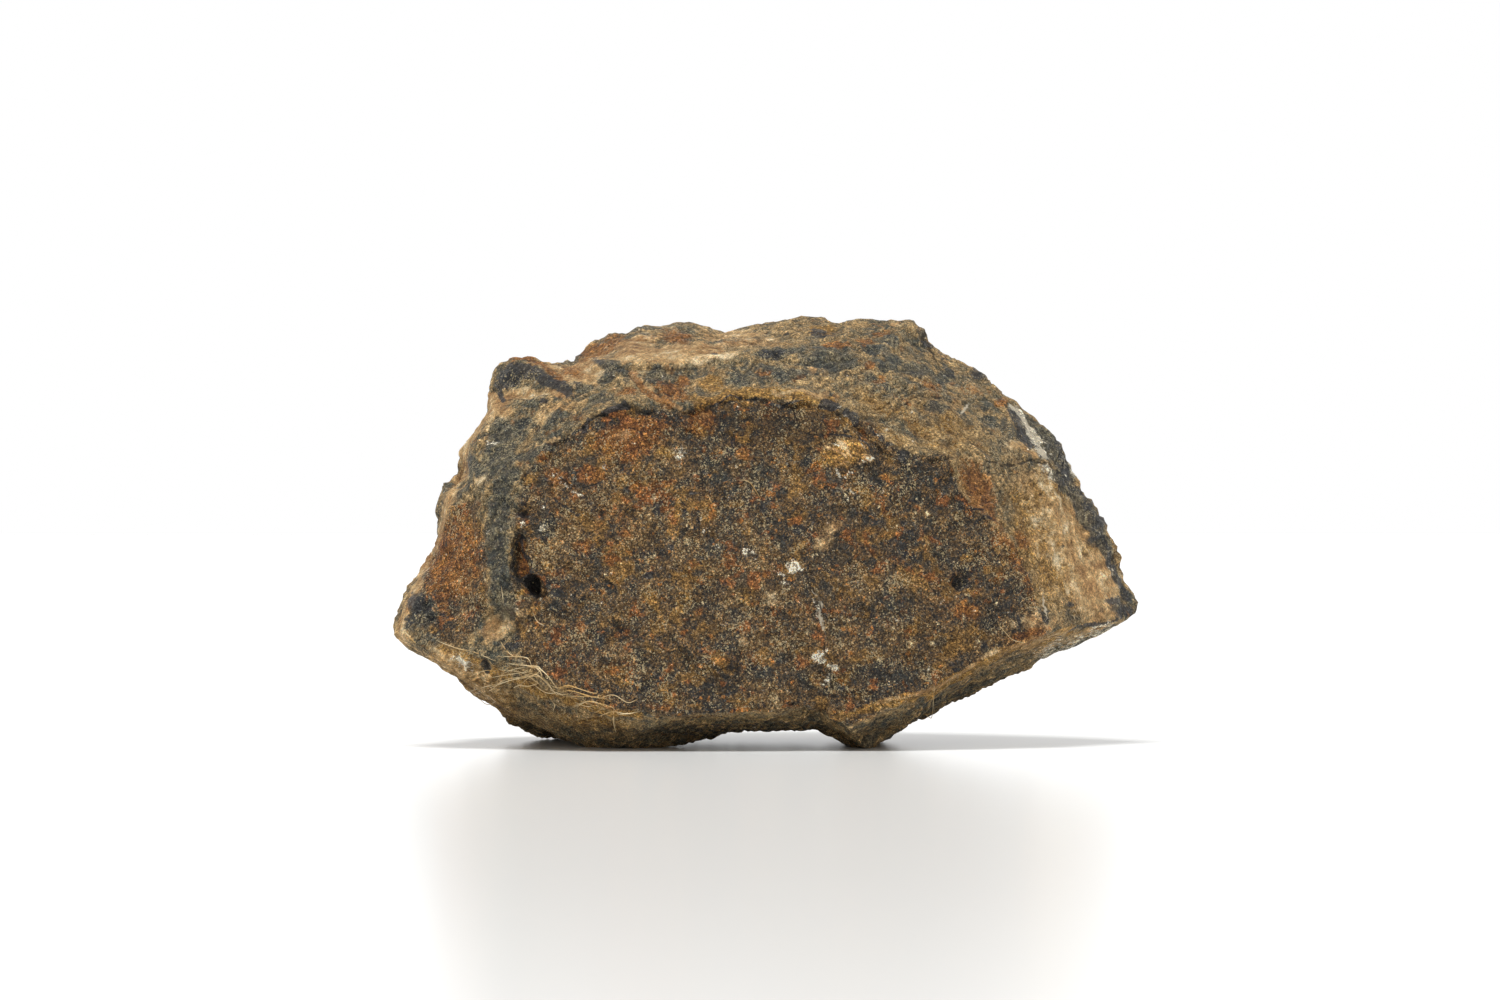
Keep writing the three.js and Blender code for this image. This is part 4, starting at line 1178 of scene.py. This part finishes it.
def fibre(path, radius, sides=5):
    """A round hair's points, quads and end faces: a circle carried along a path, thinner at both ends."""
    along = unit(np.gradient(path, axis=0))
    across = unit(np.cross(along, (0.3, 0.9, 0.2)))
    up = np.cross(along, across)
    turn = np.arange(sides) * 2 * math.pi / sides
    taper = np.sqrt(np.sin(np.linspace(0.02, math.pi - 0.02, len(path))))
    ring = np.cos(turn)[:, None] * across[:, None] + np.sin(turn)[:, None] * up[:, None]
    points = path[:, None] + radius * taper[:, None, None] * ring
    i, j = np.meshgrid(np.arange(len(path) - 1), np.arange(sides), indexing="ij")
    k = (j + 1) % sides
    quads = np.stack([i * sides + j, i * sides + k, (i + 1) * sides + k, (i + 1) * sides + j], -1)
    ends = np.stack([np.arange(sides)[::-1], np.arange(sides) + (len(path) - 1) * sides])
    return points.reshape(-1, 3), quads.reshape(-1, 4), ends


def straw():
    """Dry plant lint: straw-coloured hairs, paler and darker along their length, with a soft sheen."""
    material = bpy.data.materials.new("plant_lint")
    material.use_nodes = True
    tree = material.node_tree
    shader = tree.nodes["Principled BSDF"]
    here = add(tree, "TexCoord", {}).outputs["Object"]
    shade = add(tree, "TexNoise", {"Vector": here, "Scale": cells_per_metre(2.0)}).outputs[0]
    tree.links.new(tinted(shade, [(0.35, "#c39a58"), (0.65, "#f2dfb4")]), shader.inputs["Base Color"])
    shader.inputs["Roughness"].default_value = 0.5
    return material


def lint_mesh():
    """All plant fibres as one mesh: each tuft as three hairs that stray from each other, and single hairs."""
    rng = np.random.default_rng(5)
    points, quads, ends, count = [], [], [], 0
    for path, copies in [(tuft, 3) for tuft in TUFTS] + [(hair, 1) for hair in HAIRS]:
        for copy in range(copies):
            stray = rng.normal(0, STRAY_BENDING, (len(path), 2)) + rng.normal(0, STRAY_WHOLE, 2)
            places, out = on_surface(np.array(placed(path)) + stray * (copy > 0))
            lifted = places + out * rng.uniform(*HAIR_LIFT, (len(path), 1))
            route, radius = smooth_path(lifted, HAIR_POINTS), rng.uniform(*HAIR_RADIUS)
            hair_points, hair_quads, hair_ends = fibre(route, radius)
            points.append(hair_points)
            quads.append(hair_quads + count)
            ends.append(hair_ends + count)
            count += len(hair_points)
    mesh = bpy.data.meshes.new("lint")
    faces = np.concatenate(quads).tolist() + np.concatenate(ends).tolist()
    mesh.from_pydata(place(np.concatenate(points)).tolist(), [], faces)
    mesh.shade_smooth()
    return mesh


lint = added("lint", lint_mesh())
lint.data.materials.append(straw())
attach(lint, "root")


# The table, the light and the camera.
TABLE_REACH = 3  # metres from the stone to each side of the table top
SEEN_WHITE, LIGHTING_WHITE = 1.0, 0.35  # the surroundings' strength as a backdrop and as a light


def white_table():
    """A smooth white table top with a faint gloss."""
    material = bpy.data.materials.new("white_table")
    material.use_nodes = True
    shader = material.node_tree.nodes["Principled BSDF"]
    shader.inputs["Base Color"].default_value = linear("#f4f4f2")
    shader.inputs["Roughness"].default_value = 0.2
    shader.inputs["Specular IOR Level"].default_value = 0.3
    return material


def white_surroundings():
    """White all round, and dimmer for what it lights than for what looks at it."""
    world = bpy.data.worlds.new("studio")
    world.use_nodes = True
    tree = world.node_tree
    lighting = add(tree, "LightPath", {}).outputs["Is Diffuse Ray"]
    brightness = add(tree, "Mix", {0: lighting, 2: SEEN_WHITE, 3: LIGHTING_WHITE}).outputs[0]
    tree.links.new(brightness, tree.nodes["Background"].inputs["Strength"])
    tree.nodes["Background"].inputs["Color"].default_value = (1, 1, 1, 1)
    return world


floor_mesh = bpy.data.meshes.new("table")
square = [(-1, -1), (1, -1), (1, 1), (-1, 1)]
floor_mesh.from_pydata([(x * TABLE_REACH, y * TABLE_REACH, 0) for x, y in square], [], [(0, 1, 2, 3)])
floor = added("table", floor_mesh)
floor.data.materials.append(white_table())
floor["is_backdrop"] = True

bpy.context.scene.world = white_surroundings()

# Lamps: strength, width, tilt from overhead and turn, in degrees.
LAMPS = {"overhead": (3.2, 25, 16, -35), "front": (0.5, 60, 78, 12)}
for name, (strength, width, tilt, turn) in LAMPS.items():
    lamp = added(name, bpy.data.lights.new(name, "SUN"))
    lamp.rotation_euler = (math.radians(tilt), 0, math.radians(turn))
    lamp.data.energy = strength
    lamp.data.angle = math.radians(width)

camera = added("camera", bpy.data.cameras.new("camera"))
camera.location = place(EYE)
camera.rotation_euler = (math.pi / 2, 0, 0)
camera.data.lens = LENS
bpy.context.scene.camera = camera
bpy.context.scene.view_settings.view_transform = "Standard"
